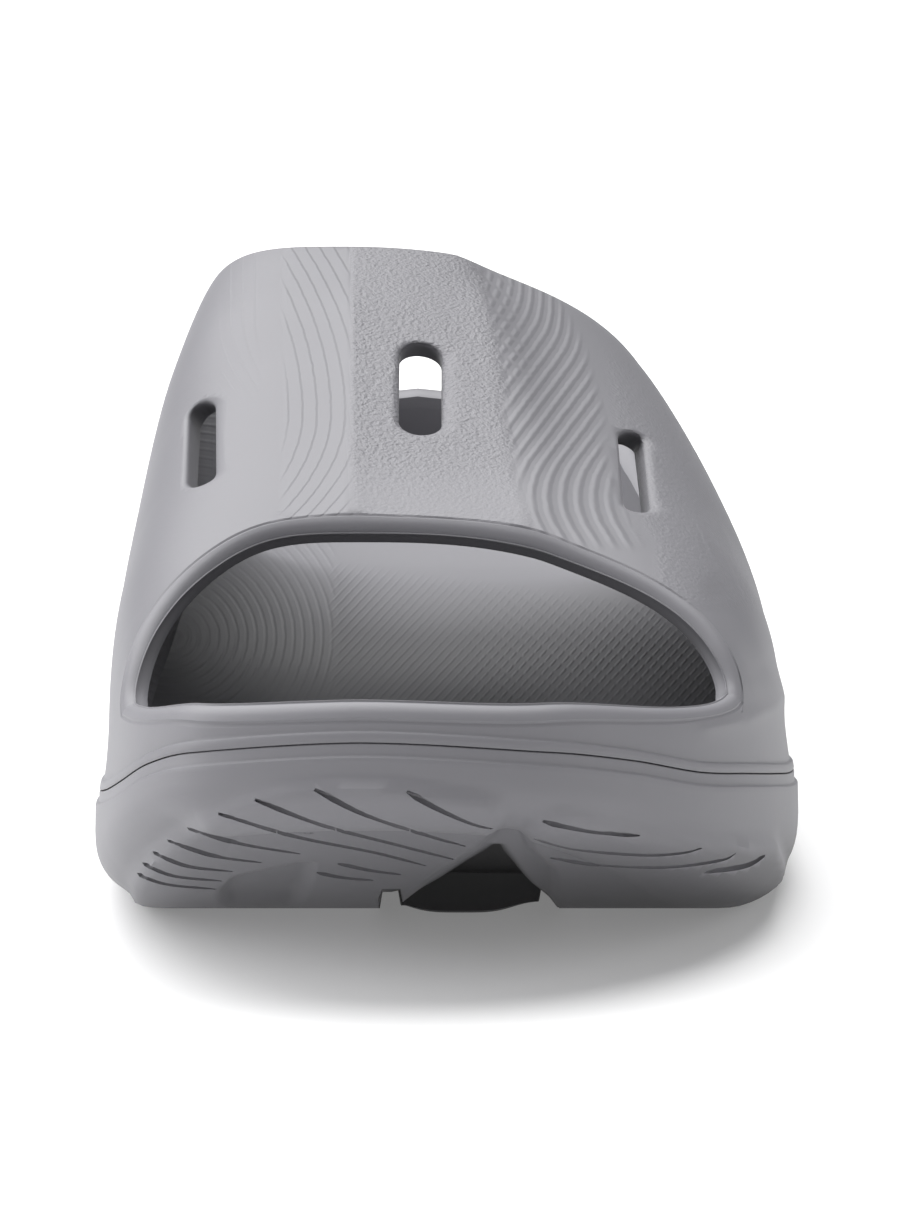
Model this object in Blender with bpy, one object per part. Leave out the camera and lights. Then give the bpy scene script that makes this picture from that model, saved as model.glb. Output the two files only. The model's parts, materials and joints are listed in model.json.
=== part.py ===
"""A left sport slide sandal, moulded in two foam pieces, in metres.

The toe points along -Y, the outer (lateral) side of the foot is +X, and Z is up.
The origin is on the floor, under the middle of the length and of the ball width.
The upper is one moulding: strap, rim and footbed. The sole is the second, nested under it.
"""

import math

import bmesh
import bpy
import numpy as np

# Driving sizes
LENGTH = 0.292
BALL_WIDTH = 0.113
INSTEP_TOP = 0.0950
HEEL_STACK = 0.0365
TOE_SPRING = 0.032
HEEL_LIFT = 0.013
WAIST_LIFT = 0.002
SEAM_TOP = 0.0405
RIM_RISE = 0.017
WALL = 0.0054
TOP_LAYER = 0.006
GAP = 0.0003

# Footbed relief, over the plain footbed line
ARCH_RISE = 0.0085
CUP_RISE = 0.0045

# The strap's edges meet the rim and the top line at these distances from the toe.
# The front edge starts further back on the lateral side than on the medial side.
MOUTH_CORNER_MEDIAL = 0.040
MOUTH_CORNER_LATERAL = 0.050
MOUTH_TOP = 0.073
REAR_TOP = 0.165
REAR_CORNER = 0.200

# Side of the shoe, at the seam between the two mouldings
SEAM_INSET = 0.0012
FACET_DEPTH = 0.0017
FACET_SOFT = 0.07
FACET_PEAK = 4 / 27
LIP_HEIGHT = 0.0016
LIP_OUT = 0.0005
BAND_HEIGHT = 0.0021
BAND_STEP = 0.0006
LEDGE_WIDTH = 0.005
NEST_SLOPE = 0.007
SKIRT_FLARE = 0.0012
SKIRT_HEIGHT = 0.012
TOE_LEAN = 0.14
LEAN_REACH = 0.045

# Underside of the sole
EDGE_INSET = 0.014
RIDGE_SHARE = 0.62
CHANNEL_DRAFT = 0.0012
CHANNEL_DEPTH = 0.0045
PAD_DROP = 0.0018
PAD_START = 0.185
PAD_END = 0.36
PAD_EASE = 0.035
PAD_MIDDLE_SHARE = 0.030
PAD_WIDTH_SHARE = 0.105

# Air slots through the strap
SLOT_LENGTH = 0.0315
SLOT_WIDTH = 0.0070
SLOT_END = 1.35
SLOT_PULL = 1.37

# Each row is one section across the shoe. back is its share of LENGTH from the toe tip.
# medial, lateral and ridge are shares of BALL_WIDTH from the middle line, outward for the first two.
# spring, lift and waist are shares of TOE_SPRING, HEEL_LIFT and WAIST_LIFT, stack of HEEL_STACK.
# The seams are shares of SEAM_TOP, rim of RIM_RISE, top of INSTEP_TOP and wall of WALL.
# side and crown are the two powers of each side's section, and corner that of the sole's edge.
# The columns of LEVEL_COLUMNS run level at the toe tip and the heel tip, so both sides meet smoothly.
SECTION_COLUMNS = (
    "back", "medial", "lateral", "ridge", "spring", "lift", "waist", "stack", "seam_medial", "seam_lateral",
    "rim", "top", "wall", "side_medial", "side_lateral", "crown_medial", "crown_lateral", "corner",
)  # fmt: skip
LEVEL_COLUMNS = ("spring", "stack", "seam_medial", "seam_lateral", "rim", "top")
SECTIONS = (
    (0.0, 0.111, -0.111, -0.111, 1.0, 0, 0, 0.260, 1.0, 1.0, 0.255, 0.590, 1.0, 3.2, 3.2, 3.2, 3.2, 2.2),
    (0.02, 0.332, 0.137, -0.111, 0.98, 0, 0, 0.270, 0.938, 0.940, 0.190, 0.578, 1.0, 3.2, 3.2, 3.2, 3.2, 2.2),
    (0.05, 0.389, 0.239, -0.112, 0.83, 0, 0, 0.305, 0.860, 0.872, 0.310, 0.567, 0.95, 3.3, 3.2, 3.3, 3.2, 2.2),
    (0.1, 0.435, 0.342, -0.113, 0.57, 0, 0, 0.420, 0.725, 0.757, 0.400, 0.565, 0.82, 3.4, 3.2, 3.5, 3.2, 2.2),
    (0.155, 0.462, 0.409, -0.114, 0.31, 0, 0, 0.570, 0.617, 0.677, 0.480, 0.580, 0.74, 3.4, 3.1, 3.7, 3.2, 2.3),
    (0.21, 0.480, 0.453, -0.115, 0.13, 0, 0, 0.700, 0.533, 0.600, 0.62, 0.620, 0.74, 3.3, 2.9, 3.7, 3.1, 2.4),
    (0.275, 0.492, 0.485, -0.125, 0.025, 0, 0, 0.780, 0.449, 0.514, 0.62, 0.695, 0.78, 3.1, 2.6, 3.7, 3.0, 2.5),
    (0.32, 0.496, 0.497, -0.132, 0, 0, 0, 0.783, 0.405, 0.465, 0.61, 0.747, 0.80, 3.0, 2.4, 3.5, 2.9, 2.6),
    (0.345, 0.496, 0.500, -0.138, 0, 0, 0, 0.785, 0.383, 0.440, 0.61, 0.777, 0.81, 3.0, 2.3, 3.4, 2.8, 2.6),
    (0.41, 0.489, 0.499, -0.148, 0, 0, 0, 0.790, 0.353, 0.395, 0.60, 0.855, 0.84, 3.0, 2.15, 3.7, 2.7, 2.6),
    (0.5, 0.465, 0.478, -0.157, 0, 0, 0.8, 0.820, 0.360, 0.405, 0.59, 0.953, 0.87, 3.6, 2.1, 4.4, 2.65, 2.6),
    (0.6, 0.435, 0.430, -0.155, 0, 0, 0.8, 0.885, 0.435, 0.469, 0.59, 1.012, 0.92, 3.6, 2.2, 4.8, 2.65, 2.6),
    (0.7, 0.421, 0.386, -0.135, 0, 0, 0, 0.940, 0.530, 0.556, 0.62, 0.990, 1.0, 3.3, 2.5, 4.0, 2.8, 2.6),
    (0.8, 0.423, 0.354, -0.105, 0, 0, 0, 0.985, 0.617, 0.637, 0.69, 0.930, 1.0, 3.0, 2.9, 3.2, 3.0, 2.6),
    (0.875, 0.418, 0.329, -0.080, 0, 0.17, 0, 0.970, 0.679, 0.691, 0.80, 0.880, 1.0, 3.0, 3.0, 3.0, 3.0, 2.5),
    (0.925, 0.384, 0.290, -0.065, 0, 0.43, 0, 0.885, 0.725, 0.730, 0.88, 0.850, 1.0, 3.0, 3.0, 3.0, 3.0, 2.5),
    (0.965, 0.306, 0.207, -0.057, 0, 0.74, 0, 0.775, 0.765, 0.766, 0.94, 0.830, 1.0, 3.0, 3.0, 3.0, 3.0, 2.5),
    (1.0, 0.053, -0.053, -0.053, 0, 1.0, 0, 0.680, 0.802, 0.802, 1.0, 0.815, 1.0, 3.0, 3.0, 3.0, 3.0, 2.5),
)

# How far the strap's edge has climbed from the rim to the top line, over the run of each edge
EDGE_COLUMNS = ("run", "climb")
EDGE_CLIMB = ((0.0, 0.0), (0.12, 0.10), (0.30, 0.38), (0.55, 0.68), (0.80, 0.89), (1.0, 1.0))

# The strap's lateral shoulder is flatter than a round section, from a fold line outward.
# start and end are shares of the section's reach, and depth of FACET_DEPTH.
FACET_COLUMNS = ("back", "start", "end", "depth")
FACET = (
    (0.25, 0.435, 0.84, 0.25),
    (0.34, 0.410, 0.84, 0.60),
    (0.45, 0.375, 0.84, 1.00),
    (0.56, 0.290, 0.84, 1.00),
    (0.70, 0.250, 0.84, 1.00),
)

# Channels of the underside: back and the two sides are shares of LENGTH and BALL_WIDTH
CHANNEL_COLUMNS = ("back", "left", "right", "depth")
CHANNELS = {
    "arrow": (
        (0.085, 0.058, 0.074, 0.50),
        (0.120, 0.010, 0.098, 1.20),
        (0.165, -0.045, 0.130, 1.35),
        (0.215, -0.098, 0.162, 1.00),
    ),
    "inner": ((0.200, -0.094, -0.058, 1.0), (0.330, -0.104, -0.066, 1.0), (0.500, -0.085, -0.045, 1.0)),
    "outer": ((0.200, 0.120, 0.156, 1.0), (0.330, 0.128, 0.166, 1.0), (0.500, 0.095, 0.135, 1.0)),
    "side": (
        (0.102, -0.195, -0.178, 0.20),
        (0.127, -0.287, -0.183, 0.35),
        (0.154, -0.305, -0.196, 0.35),
        (0.215, -0.300, -0.215, 0.35),
        (0.380, -0.285, -0.262, 0.30),
    ),
    "waist": (
        (0.455, -0.105, 0.160, 0.8),
        (0.510, -0.160, 0.195, 1.2),
        (0.580, -0.215, 0.175, 1.3),
        (0.650, -0.165, 0.110, 1.1),
        (0.700, -0.090, 0.020, 0.9),
    ),
    "heel": ((0.690, -0.090, 0.015, 0.9), (0.830, -0.088, -0.010, 0.9), (1.030, -0.110, 0.000, 0.5)),
}

# Air slots: middle of each as shares of LENGTH and BALL_WIDTH, lean of the long axis in degrees,
# share of SLOT_WIDTH, skew, how far the ends slide along the slot over its width, and share of SLOT_LENGTH
SLOT_COLUMNS = ("back", "across", "lean", "width", "skew", "length")
SLOTS = (
    (0.355, -0.352, -2.0, 0.72, -0.35, 0.93),
    (0.385, -0.038, 0.0, 1.00, 0.00, 0.98),
    (0.362, 0.271, 1.5, 0.66, 0.65, 1.14),
)

# Number of strips in each run of the ring, from the toe tip to the heel tip, and across
RUN_STRIPS = (8, 8, 9, 8, 10)
WALL_STRIPS = 11
INNER_STRIPS = 9
BEAD_STRIPS = 4
BED_STRIPS = 12
SIDE_STRIPS = 4
MEDIAL = -1
LATERAL = 1


def smooth_table(rows, columns):
    """Returns look(name, share), a smooth reading of a table that never overshoots its rows."""
    table = np.array(rows, float)
    turns = np.arccos(np.clip(1 - 2 * table[:, 0], -1, 1)) if rows is SECTIONS else table[:, 0]

    def look(name, share):
        share = np.asarray(share, float)
        where = np.arccos(np.clip(1 - 2 * share, -1, 1)) if rows is SECTIONS else share
        values = table[:, columns.index(name)]
        steps = np.diff(turns)
        slopes = np.diff(values) / steps
        tangents = np.zeros(len(values))
        for i in range(1, len(values) - 1):
            before, after = slopes[i - 1], slopes[i]
            if before * after > 0:
                w1 = 2 * steps[i] + steps[i - 1]
                w2 = steps[i] + 2 * steps[i - 1]
                tangents[i] = (w1 + w2) / (w1 / before + w2 / after)
        if name not in LEVEL_COLUMNS:
            tangents[0], tangents[-1] = slopes[0], slopes[-1]
        i = np.clip(np.searchsorted(turns, where, side="right") - 1, 0, len(steps) - 1)
        t = np.clip((where - turns[i]) / steps[i], 0, 1)
        return (
            (1 + 2 * t) * (1 - t) ** 2 * values[i]
            + t * (1 - t) ** 2 * steps[i] * tangents[i]
            + t * t * (3 - 2 * t) * values[i + 1]
            + t * t * (t - 1) * steps[i] * tangents[i + 1]
        )

    return look


section = smooth_table(SECTIONS, SECTION_COLUMNS)
edge_climb = smooth_table(EDGE_CLIMB, EDGE_COLUMNS)
facet_row = smooth_table(FACET, FACET_COLUMNS)


def ground(back):
    """Height of the sole's underside on its middle line."""
    ends = TOE_SPRING * section("spring", back) + HEEL_LIFT * section("lift", back)
    return ends + WAIST_LIFT * section("waist", back)


def footbed_line(back):
    return ground(back) + HEEL_STACK * section("stack", back)


def seam(side, back):
    """Height of the line where the two mouldings meet on the side of the shoe."""
    return SEAM_TOP * section("seam_medial" if side == MEDIAL else "seam_lateral", back)


def top_line(back):
    return INSTEP_TOP * section("top", back)


def ridge_line(back):
    """Where the strap's highest line lies across the shoe."""
    return BALL_WIDTH * section("ridge", back)


def half_width(side, back):
    """Outline of the sole at its widest, outward from the middle line."""
    return BALL_WIDTH * section("medial" if side == MEDIAL else "lateral", back)


def wall_depth(back):
    return WALL * section("wall", back)


def mouth_corner(side):
    """How far back the strap's front edge leaves the rim."""
    return MOUTH_CORNER_MEDIAL if side == MEDIAL else MOUTH_CORNER_LATERAL


def edge_height(side, back):
    """Height where the round of the free edge starts: rim at toe and heel, strap edge between."""
    rim = footbed_line(back) + RIM_RISE * section("rim", back) - wall_depth(back) / 2
    at = back * LENGTH
    corner = mouth_corner(side)
    front = edge_climb("climb", np.clip((at - corner) / (MOUTH_TOP - corner), 0, 1))
    rear = edge_climb("climb", np.clip((REAR_CORNER - at) / (REAR_CORNER - REAR_TOP), 0, 1))
    return rim + np.minimum(front, rear) * (top_line(back) - rim)


def bed_height(back, across):
    """Top of the footbed; across runs from -1 at the medial wall to 1 at the lateral wall."""
    arch = np.exp(-(((back - 0.56) / 0.13) ** 2)) * np.clip(-across, 0, 1) ** 2.2
    heel = np.clip((back - 0.62) / 0.3, 0, 1) ** 1.5
    cup = (0.35 + 0.65 * heel) * np.abs(across) ** 3.5
    return footbed_line(back) + ARCH_RISE * arch + CUP_RISE * cup


def joint_height(back):
    """Where the two mouldings meet under the footbed."""
    return footbed_line(back) - TOP_LAYER


class Side:
    """One side of the upper's outer form: superelliptic sections from the seam to the top line."""

    def __init__(self, side):
        self.side = side

    def half(self, back):
        """Reach of the section from the ridge line to the wall at the seam."""
        reach = half_width(self.side, back) - (SEAM_INSET + SKIRT_FLARE) * self.fade(back)
        return np.maximum(reach - self.side * ridge_line(back), 1e-6)

    def fade(self, back):
        """1 along the shoe, falling to 0 at the two tips."""
        return np.sqrt(np.clip(4 * back * (1 - back), 0, 1))

    def powers(self, back):
        """How square the section is across and up."""
        name = "medial" if self.side == MEDIAL else "lateral"
        return section("side_" + name, back), section("crown_" + name, back)

    def angle_at(self, back, height):
        """Section angle at which the wall has this height."""
        low = seam(self.side, back)
        share = np.clip((height - low) / (top_line(back) - low), 0, 1)
        return np.arcsin(np.clip(share ** (self.powers(back)[1] / 2), 0, 1))

    def point(self, back, angle, out=0.0):
        """A point of the outer form, moved out along its normal."""
        low = seam(self.side, back)
        rise = top_line(back) - low
        side_power, crown_power = self.powers(back)
        u = np.cos(angle) ** (2 / side_power)
        v = np.sin(angle) ** (2 / crown_power)
        height = v * rise
        flare = SKIRT_FLARE * self.fade(back) * np.clip(1 - height / SKIRT_HEIGHT, 0, 1) ** 2
        x = ridge_line(back) + self.side * (self.half(back) * u + flare)
        at = back * LENGTH + SEAM_INSET * (1 - 2 * back) * (1 - self.fade(back)) + self.lean(back) * height
        place = np.stack([x, at - LENGTH / 2, low + height], -1)
        return place + (np.asarray(out) - self.facet(back, u))[..., None] * self.normal(back, u, v)

    def facet(self, back, u):
        """How far the lateral shoulder of the strap is pressed in, deepest a third of the way out."""
        start, end = facet_row("start", back), facet_row("end", back)
        t = np.clip((u - start) / (end - start), 0, 1)
        t = t * t * (1 + FACET_SOFT) / (t + FACET_SOFT)
        dip = t * (1 - t) ** 2 / FACET_PEAK
        return FACET_DEPTH * facet_row("depth", back) * dip * (self.side == LATERAL)

    def lean(self, back):
        """Backward lean of the toe wall, and forward lean of the heel wall, per height."""
        at = back * LENGTH
        front = np.clip(1 - at / LEAN_REACH, 0, 1) ** 2
        rear = np.clip(1 - (LENGTH - at) / LEAN_REACH, 0, 1) ** 2
        return TOE_LEAN * (front - rear)

    def normal(self, back, u, v):
        """Unit outward normal of the outer form, from the slope of the section's equation."""
        turn = np.clip(np.arccos(np.clip(1 - 2 * back, -1, 1)), 0.02, math.pi - 0.02)
        share = (1 - np.cos(turn)) / 2
        step = 0.004
        low, rise, half = seam(self.side, share), top_line(share) - seam(self.side, share), self.half(share)
        x = ridge_line(share) + self.side * half * u
        z = low + rise * v

        def level(at_turn):
            at = (1 - np.cos(at_turn)) / 2
            across = np.abs(x - ridge_line(at)) / self.half(at)
            up = np.clip((z - seam(self.side, at)) / (top_line(at) - seam(self.side, at)), 0, None)
            return across**side_power + up**crown_power

        side_power, crown_power = self.powers(share)
        along = (level(turn + step) - level(turn - step)) / (2 * step)
        speed = LENGTH / 2 * np.sin(turn)
        across = self.side * side_power * np.clip(u, 0, 1) ** (side_power - 1) / half
        up = crown_power * np.clip(v, 0, 1) ** (crown_power - 1) / rise
        slope = np.stack([across * speed, along, up * speed], -1)
        tip = (back < 1e-6) | (back > 1 - 1e-6)
        slope[..., 0] = np.where(tip, 0, slope[..., 0])
        return slope / np.linalg.norm(slope, axis=-1, keepdims=True)


SIDES = {MEDIAL: Side(MEDIAL), LATERAL: Side(LATERAL)}


def run_spots(low, high, strips, ease):
    """Spots from low to high: closer together at the start, at the end, or evenly."""
    t = np.linspace(0, 1, strips + 1)
    t = {"start": 1 - np.cos(t * math.pi / 2), "end": np.sin(t * math.pi / 2), "even": t}[ease]
    return low + (high - low) * t


def ring_columns(side):
    """Where each upright strip starts on the seam and ends on the free edge, as shares of LENGTH.

    The strips of the strap's two edges lean, so that they stay evenly spaced round the openings.
    """
    marks = [0, mouth_corner(side), MOUTH_TOP, REAR_TOP, REAR_CORNER, LENGTH]
    fan = 0.35 * (REAR_TOP - MOUTH_TOP) / 2
    corner = (MOUTH_CORNER_MEDIAL + MOUTH_CORNER_LATERAL) / 2
    feet = [0, corner - fan / 3, MOUTH_TOP + fan, REAR_TOP - fan, REAR_CORNER + fan / 3, LENGTH]
    foot_ease = ("start", "even", "even", "even", "end")
    edge_ease = ("start", "end", "even", "start", "end")
    seam_spots, edge_spots = [np.zeros(1)], [np.zeros(1)]
    for i, strips in enumerate(RUN_STRIPS):
        seam_spots.append(run_spots(feet[i], feet[i + 1], strips, foot_ease[i])[1:])
        edge_spots.append(run_spots(marks[i], marks[i + 1], strips, edge_ease[i])[1:])
    return np.concatenate(seam_spots) / LENGTH, np.concatenate(edge_spots) / LENGTH


SEAM_SPOTS = ring_columns(MEDIAL)[0]
EDGE_SPOTS = {side: ring_columns(side)[1] for side in (MEDIAL, LATERAL)}
FRONT_TOP = sum(RUN_STRIPS[:2])
BACK_TOP = sum(RUN_STRIPS[:3])


def row_shares(strips, low_crowding, high_crowding):
    """Shares from 0 to 1, closer together at the ends that are crowded."""
    t = np.linspace(0, 1, strips + 1)
    return t - low_crowding * np.sin(2 * math.pi * t) / (2 * math.pi) * (1 - t) - high_crowding * np.sin(
        2 * math.pi * t
    ) / (2 * math.pi) * t


def edge_angles(side):
    angles = SIDES[side].angle_at(EDGE_SPOTS[side], edge_height(side, EDGE_SPOTS[side]))
    angles[FRONT_TOP : BACK_TOP + 1] = math.pi / 2
    return angles


def column_grid(side, low_angle, high_angle, shares, wall):
    """Points of the side between two section angles; wall 1 lies a wall's depth inside the form."""
    angle = low_angle + (high_angle - low_angle) * shares[None]
    back = SEAM_SPOTS[:, None] + (EDGE_SPOTS[side] - SEAM_SPOTS)[:, None] * angle / high_angle
    return SIDES[side].point(back, angle, -wall * wall_depth(back))


def outer_wall(side):
    """Rows from the seam up to the free edge, with the lip proud of the wall at the seam."""
    high = edge_angles(side)[:, None]
    shares = row_shares(WALL_STRIPS, 0.9, 0.5)
    low = SIDES[side].angle_at(SEAM_SPOTS, seam(side, SEAM_SPOTS) + LIP_HEIGHT)[:, None]
    wall = column_grid(side, low, high, shares, 0)
    lip_angle = low * np.array([0.0, 0.5, 1.0])[None]
    lip_back = SEAM_SPOTS[:, None] * np.ones_like(lip_angle)
    lip = SIDES[side].point(lip_back, lip_angle, LIP_OUT * np.ones_like(lip_back))
    lip[:, 0, 2] += GAP
    return np.concatenate([lip, wall], 1)


def inner_wall(side):
    """Rows from the free edge down to the footbed, inside the outer form."""
    high = edge_angles(side)[:, None]
    bed = bed_height(SEAM_SPOTS, side * np.ones_like(SEAM_SPOTS))
    rise = edge_height(side, EDGE_SPOTS[side]) - bed
    low = SIDES[side].angle_at(SEAM_SPOTS, bed + rise * 0.12)[:, None]
    return column_grid(side, low, high, row_shares(INNER_STRIPS, 0.5, 0.5), 1)[:, ::-1]


def bead(outer_edge, inner_edge, outward):
    """A round edge between the two skins of the wall."""
    middle = (outer_edge + inner_edge) / 2
    radius = (outer_edge - inner_edge) / 2
    reach = np.linalg.norm(radius, axis=-1, keepdims=True)
    turns = np.linspace(0, math.pi, BEAD_STRIPS + 1)
    rows = [middle + radius * math.cos(t) + outward * reach * math.sin(t) for t in turns]
    return np.stack(rows, 1)


def unit(vectors):
    return vectors / np.maximum(np.linalg.norm(vectors, axis=-1, keepdims=True), 1e-12)


def ring(medial, lateral):
    """Joins the rows of both sides into one closed ring, from the toe tip round the heel and back."""
    return np.concatenate([medial, lateral[-2:0:-1]], 0)


def inset_outline(side, inset, spots=None):
    """The seam's outline in plan, moved in by a distance, at each strip's foot."""
    spots = SEAM_SPOTS if spots is None else spots
    form = SIDES[side]
    foot = form.point(spots, np.zeros_like(spots))
    away = form.normal(spots, np.ones_like(spots), np.zeros_like(spots))
    away[:, 2] = 0
    return foot[:, :2] - unit(away)[:, :2] * inset


def back_share(plan):
    return np.clip(plan[..., 1] / LENGTH + 0.5, 0, 1)


def nest_rings(side, lift):
    """Rings of the face where the mouldings nest: a ledge at the seam, then a slope to the joint."""
    rings = []
    for inset, share in ((0.0, 0.0), (LEDGE_WIDTH, 0.0), (LEDGE_WIDTH + NEST_SLOPE, 1.0)):
        plan = inset_outline(side, inset)
        edge = seam(side, SEAM_SPOTS)
        height = edge + (joint_height(back_share(plan)) - edge) * share + lift
        rings.append(np.concatenate([plan, height[:, None]], 1))
    return np.stack(rings, 1)


def rungs(medial_ends, lateral_ends, strips, height):
    """Points across the shoe between the last rings of both sides, at the height of a function."""
    t = np.linspace(0, 1, strips + 1)[None, :, None]
    plan = medial_ends[:, None, :2] * (1 - t) + lateral_ends[:, None, :2] * t
    across = np.broadcast_to(2 * t[..., 0] - 1, plan.shape[:2])
    level = height(back_share(plan), across)
    level[:, 0], level[:, -1] = medial_ends[:, 2], lateral_ends[:, 2]
    return np.concatenate([plan, level[..., None]], 2)


class Shell:
    """Collects grids of points and closes them into one mesh."""

    def __init__(self):
        self.points, self.faces = [], []

    def grid(self, points, closed=False):
        rows, columns = points.shape[:2]
        start = len(self.points)
        self.points.extend(points.reshape(-1, 3))
        for i in range(rows if closed else rows - 1):
            for j in range(columns - 1):
                a, b = start + i * columns + j, start + (i + 1) % rows * columns + j
                self.faces.append((a, b, b + 1, a + 1))

    def mesh(self, name):
        mesh = bpy.data.meshes.new(name)
        mesh.from_pydata([tuple(p) for p in self.points], [], self.faces)
        work = bmesh.new()
        work.from_mesh(mesh)
        bmesh.ops.remove_doubles(work, verts=work.verts, dist=2e-5)
        bmesh.ops.dissolve_degenerate(work, edges=work.edges, dist=1e-6)
        bmesh.ops.recalc_face_normals(work, faces=work.faces)
        work.to_mesh(mesh)
        work.free()
        return mesh


def upper_mesh():
    """Strap, rim and footbed in one closed shell."""
    shell = Shell()
    outer = {s: outer_wall(s) for s in SIDES}
    inner = {s: inner_wall(s) for s in SIDES}
    shell.grid(ring(outer[MEDIAL], outer[LATERAL]), closed=True)
    shell.grid(ring(inner[MEDIAL], inner[LATERAL]), closed=True)
    for low, high in ((0, FRONT_TOP), (BACK_TOP, len(SEAM_SPOTS) - 1)):
        for s in SIDES:
            part = slice(low, high + 1)
            outward = unit(outer[s][part, -1] - outer[s][part, -2])
            if high == FRONT_TOP:
                outward[-1] = edge_direction(-1, MOUTH_TOP)
            else:
                outward[0] = edge_direction(1, REAR_TOP)
            shell.grid(bead(outer[s][part, -1], inner[s][part, 0], outward))
    bed_rim = {}
    for s in SIDES:
        last = inner[s][:, -1]
        plan = last[:, :2] - unit(last[:, :2] - spine(last))[:, :2] * 0.0022
        height = bed_height(back_share(plan), s * np.ones(len(plan)))
        bed_rim[s] = np.concatenate([plan, height[:, None]], 1)
        shell.grid(np.stack([last, bed_rim[s]], 1))
    shell.grid(rungs(bed_rim[MEDIAL], bed_rim[LATERAL], BED_STRIPS, bed_height))
    nest = {s: nest_rings(s, GAP) for s in SIDES}
    for s in SIDES:
        shell.grid(np.stack([outer[s][:, 0], nest[s][:, 0]], 1))
        shell.grid(nest[s])
    under = rungs(nest[MEDIAL][:, -1], nest[LATERAL][:, -1], BED_STRIPS, lambda b, a: joint_height(b) + GAP)
    shell.grid(under)
    return shell.mesh("upper")


def edge_direction(way, at):
    """Direction of the top line at the strap's front (-1) or rear (1) edge."""
    step = 0.002
    rise = (top_line((at + step) / LENGTH) - top_line((at - step) / LENGTH)) / (2 * step)
    return unit(np.array([0.0, 1.0, float(rise)])) * way


def spine(points):
    """The nearest spot on the shoe's long spine, kept clear of both tips."""
    reach = 0.3 * BALL_WIDTH
    y = np.clip(points[:, 1], -LENGTH / 2 + reach, LENGTH / 2 - reach)
    return np.stack([ridge_line(y / LENGTH + 0.5) * 0.5, y], 1)


def sole_side(side):
    """Rows down the side of the sole: band under the seam, ridge, and the rounded edge."""
    back = SEAM_SPOTS
    top = seam(side, back)
    form = SIDES[side]
    rows = []
    band = [(0.0, -LIP_OUT), (BAND_HEIGHT, -LIP_OUT), (BAND_HEIGHT, -LIP_OUT - BAND_STEP)]
    for down, inset in band:
        plan = inset_outline(side, inset)
        rows.append(np.concatenate([plan, (top - down)[:, None]], 1))
    floor_plan = inset_outline(side, EDGE_INSET - SEAM_INSET)
    floor = ground(back_share(floor_plan))
    ridge = floor + RIDGE_SHARE * (top - floor)
    rows.append(np.concatenate([inset_outline(side, -SEAM_INSET), ridge[:, None]], 1))
    corner = section("corner", back)
    for i in range(1, SIDE_STRIPS + 2):
        angle = i / (SIDE_STRIPS + 1) * math.pi / 2
        out = np.cos(angle) ** (2 / corner)
        down = np.sin(angle) ** (2 / corner)
        inset = -SEAM_INSET + EDGE_INSET * (1 - out)
        plan = form.point(back, np.zeros_like(back))[:, :2]
        away = form.normal(back, np.ones_like(back), np.zeros_like(back))
        away[:, 2] = 0
        plan = plan - unit(away)[:, :2] * inset[:, None]
        rows.append(np.concatenate([plan, (ridge - (ridge - floor) * down)[:, None]], 1))
    return np.stack(rows, 1)


def tread_height(back, across):
    """Underside of the sole: the middle pad of the forefoot hangs lower than the lobes beside it."""
    right, left = half_width(LATERAL, back), half_width(MEDIAL, back)
    x = (across * (right + left) + right - left) / 2
    near = np.exp(-(((x / BALL_WIDTH - PAD_MIDDLE_SHARE) / PAD_WIDTH_SHARE) ** 4))
    along = np.clip(np.minimum(back - PAD_START, PAD_END - back) / PAD_EASE, 0, 1)
    return np.maximum(ground(back) - PAD_DROP * near * along, np.minimum(ground(back), 0))


def sole_mesh():
    """The lower moulding, from the ground to the nesting face."""
    shell = Shell()
    sides = {s: sole_side(s) for s in SIDES}
    shell.grid(ring(sides[MEDIAL], sides[LATERAL]), closed=True)
    shell.grid(rungs(sides[MEDIAL][:, -1], sides[LATERAL][:, -1], BED_STRIPS, tread_height))
    nest = {s: nest_rings(s, 0.0) for s in SIDES}
    for s in SIDES:
        shell.grid(np.stack([sides[s][:, 0], nest[s][:, 0]], 1))
        shell.grid(nest[s])
    top = rungs(nest[MEDIAL][:, -1], nest[LATERAL][:, -1], BED_STRIPS, lambda b, a: joint_height(b))
    shell.grid(top)
    return shell.mesh("sole")


def collection(name):
    made = bpy.data.collections.new(name)
    bpy.context.scene.collection.children.link(made)
    return made


def place(name, mesh, into, material=None):
    made = bpy.data.objects.new(name, mesh)
    into.objects.link(made)
    if material:
        mesh.materials.append(material)
    return made


def foam(name, colour, roughness):
    material = bpy.data.materials.new(name)
    material.use_nodes = True
    shader = material.node_tree.nodes["Principled BSDF"]
    shader.inputs["Base Color"].default_value = (*colour, 1)
    shader.inputs["Roughness"].default_value = roughness
    shader.inputs["Metallic"].default_value = 0.0
    return material


def channel_cutter(name, rows, into):
    """A trough that follows the underside, narrower at its bottom by the draft."""
    look = smooth_table(rows, CHANNEL_COLUMNS)
    spots = np.linspace(rows[0][0], rows[-1][0], 17)
    left, right = look("left", spots) * BALL_WIDTH, look("right", spots) * BALL_WIDTH
    y = (spots - 0.5) * LENGTH
    low = ground(np.clip(spots, 0, 1))
    deep, below = low + CHANNEL_DEPTH * look("depth", spots), low - 0.01
    draft = np.minimum(CHANNEL_DRAFT, (right - left) * 0.3)
    corners = [(left - draft, below), (left + draft, deep), (right - draft, deep), (right + draft, below)]
    loop = np.stack([np.stack([x, y, z], -1) for x, z in corners + corners[:1]], 1)
    shell = Shell()
    shell.grid(loop)
    for end in (0, -1):
        shell.grid(np.stack([loop[end, [0, 3]], loop[end, [1, 2]]], 0))
    return guide(place(name, shell.mesh(name), into))


def guide(cutter):
    cutter.hide_render = True
    cutter.display_type = "WIRE"
    return cutter


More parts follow.
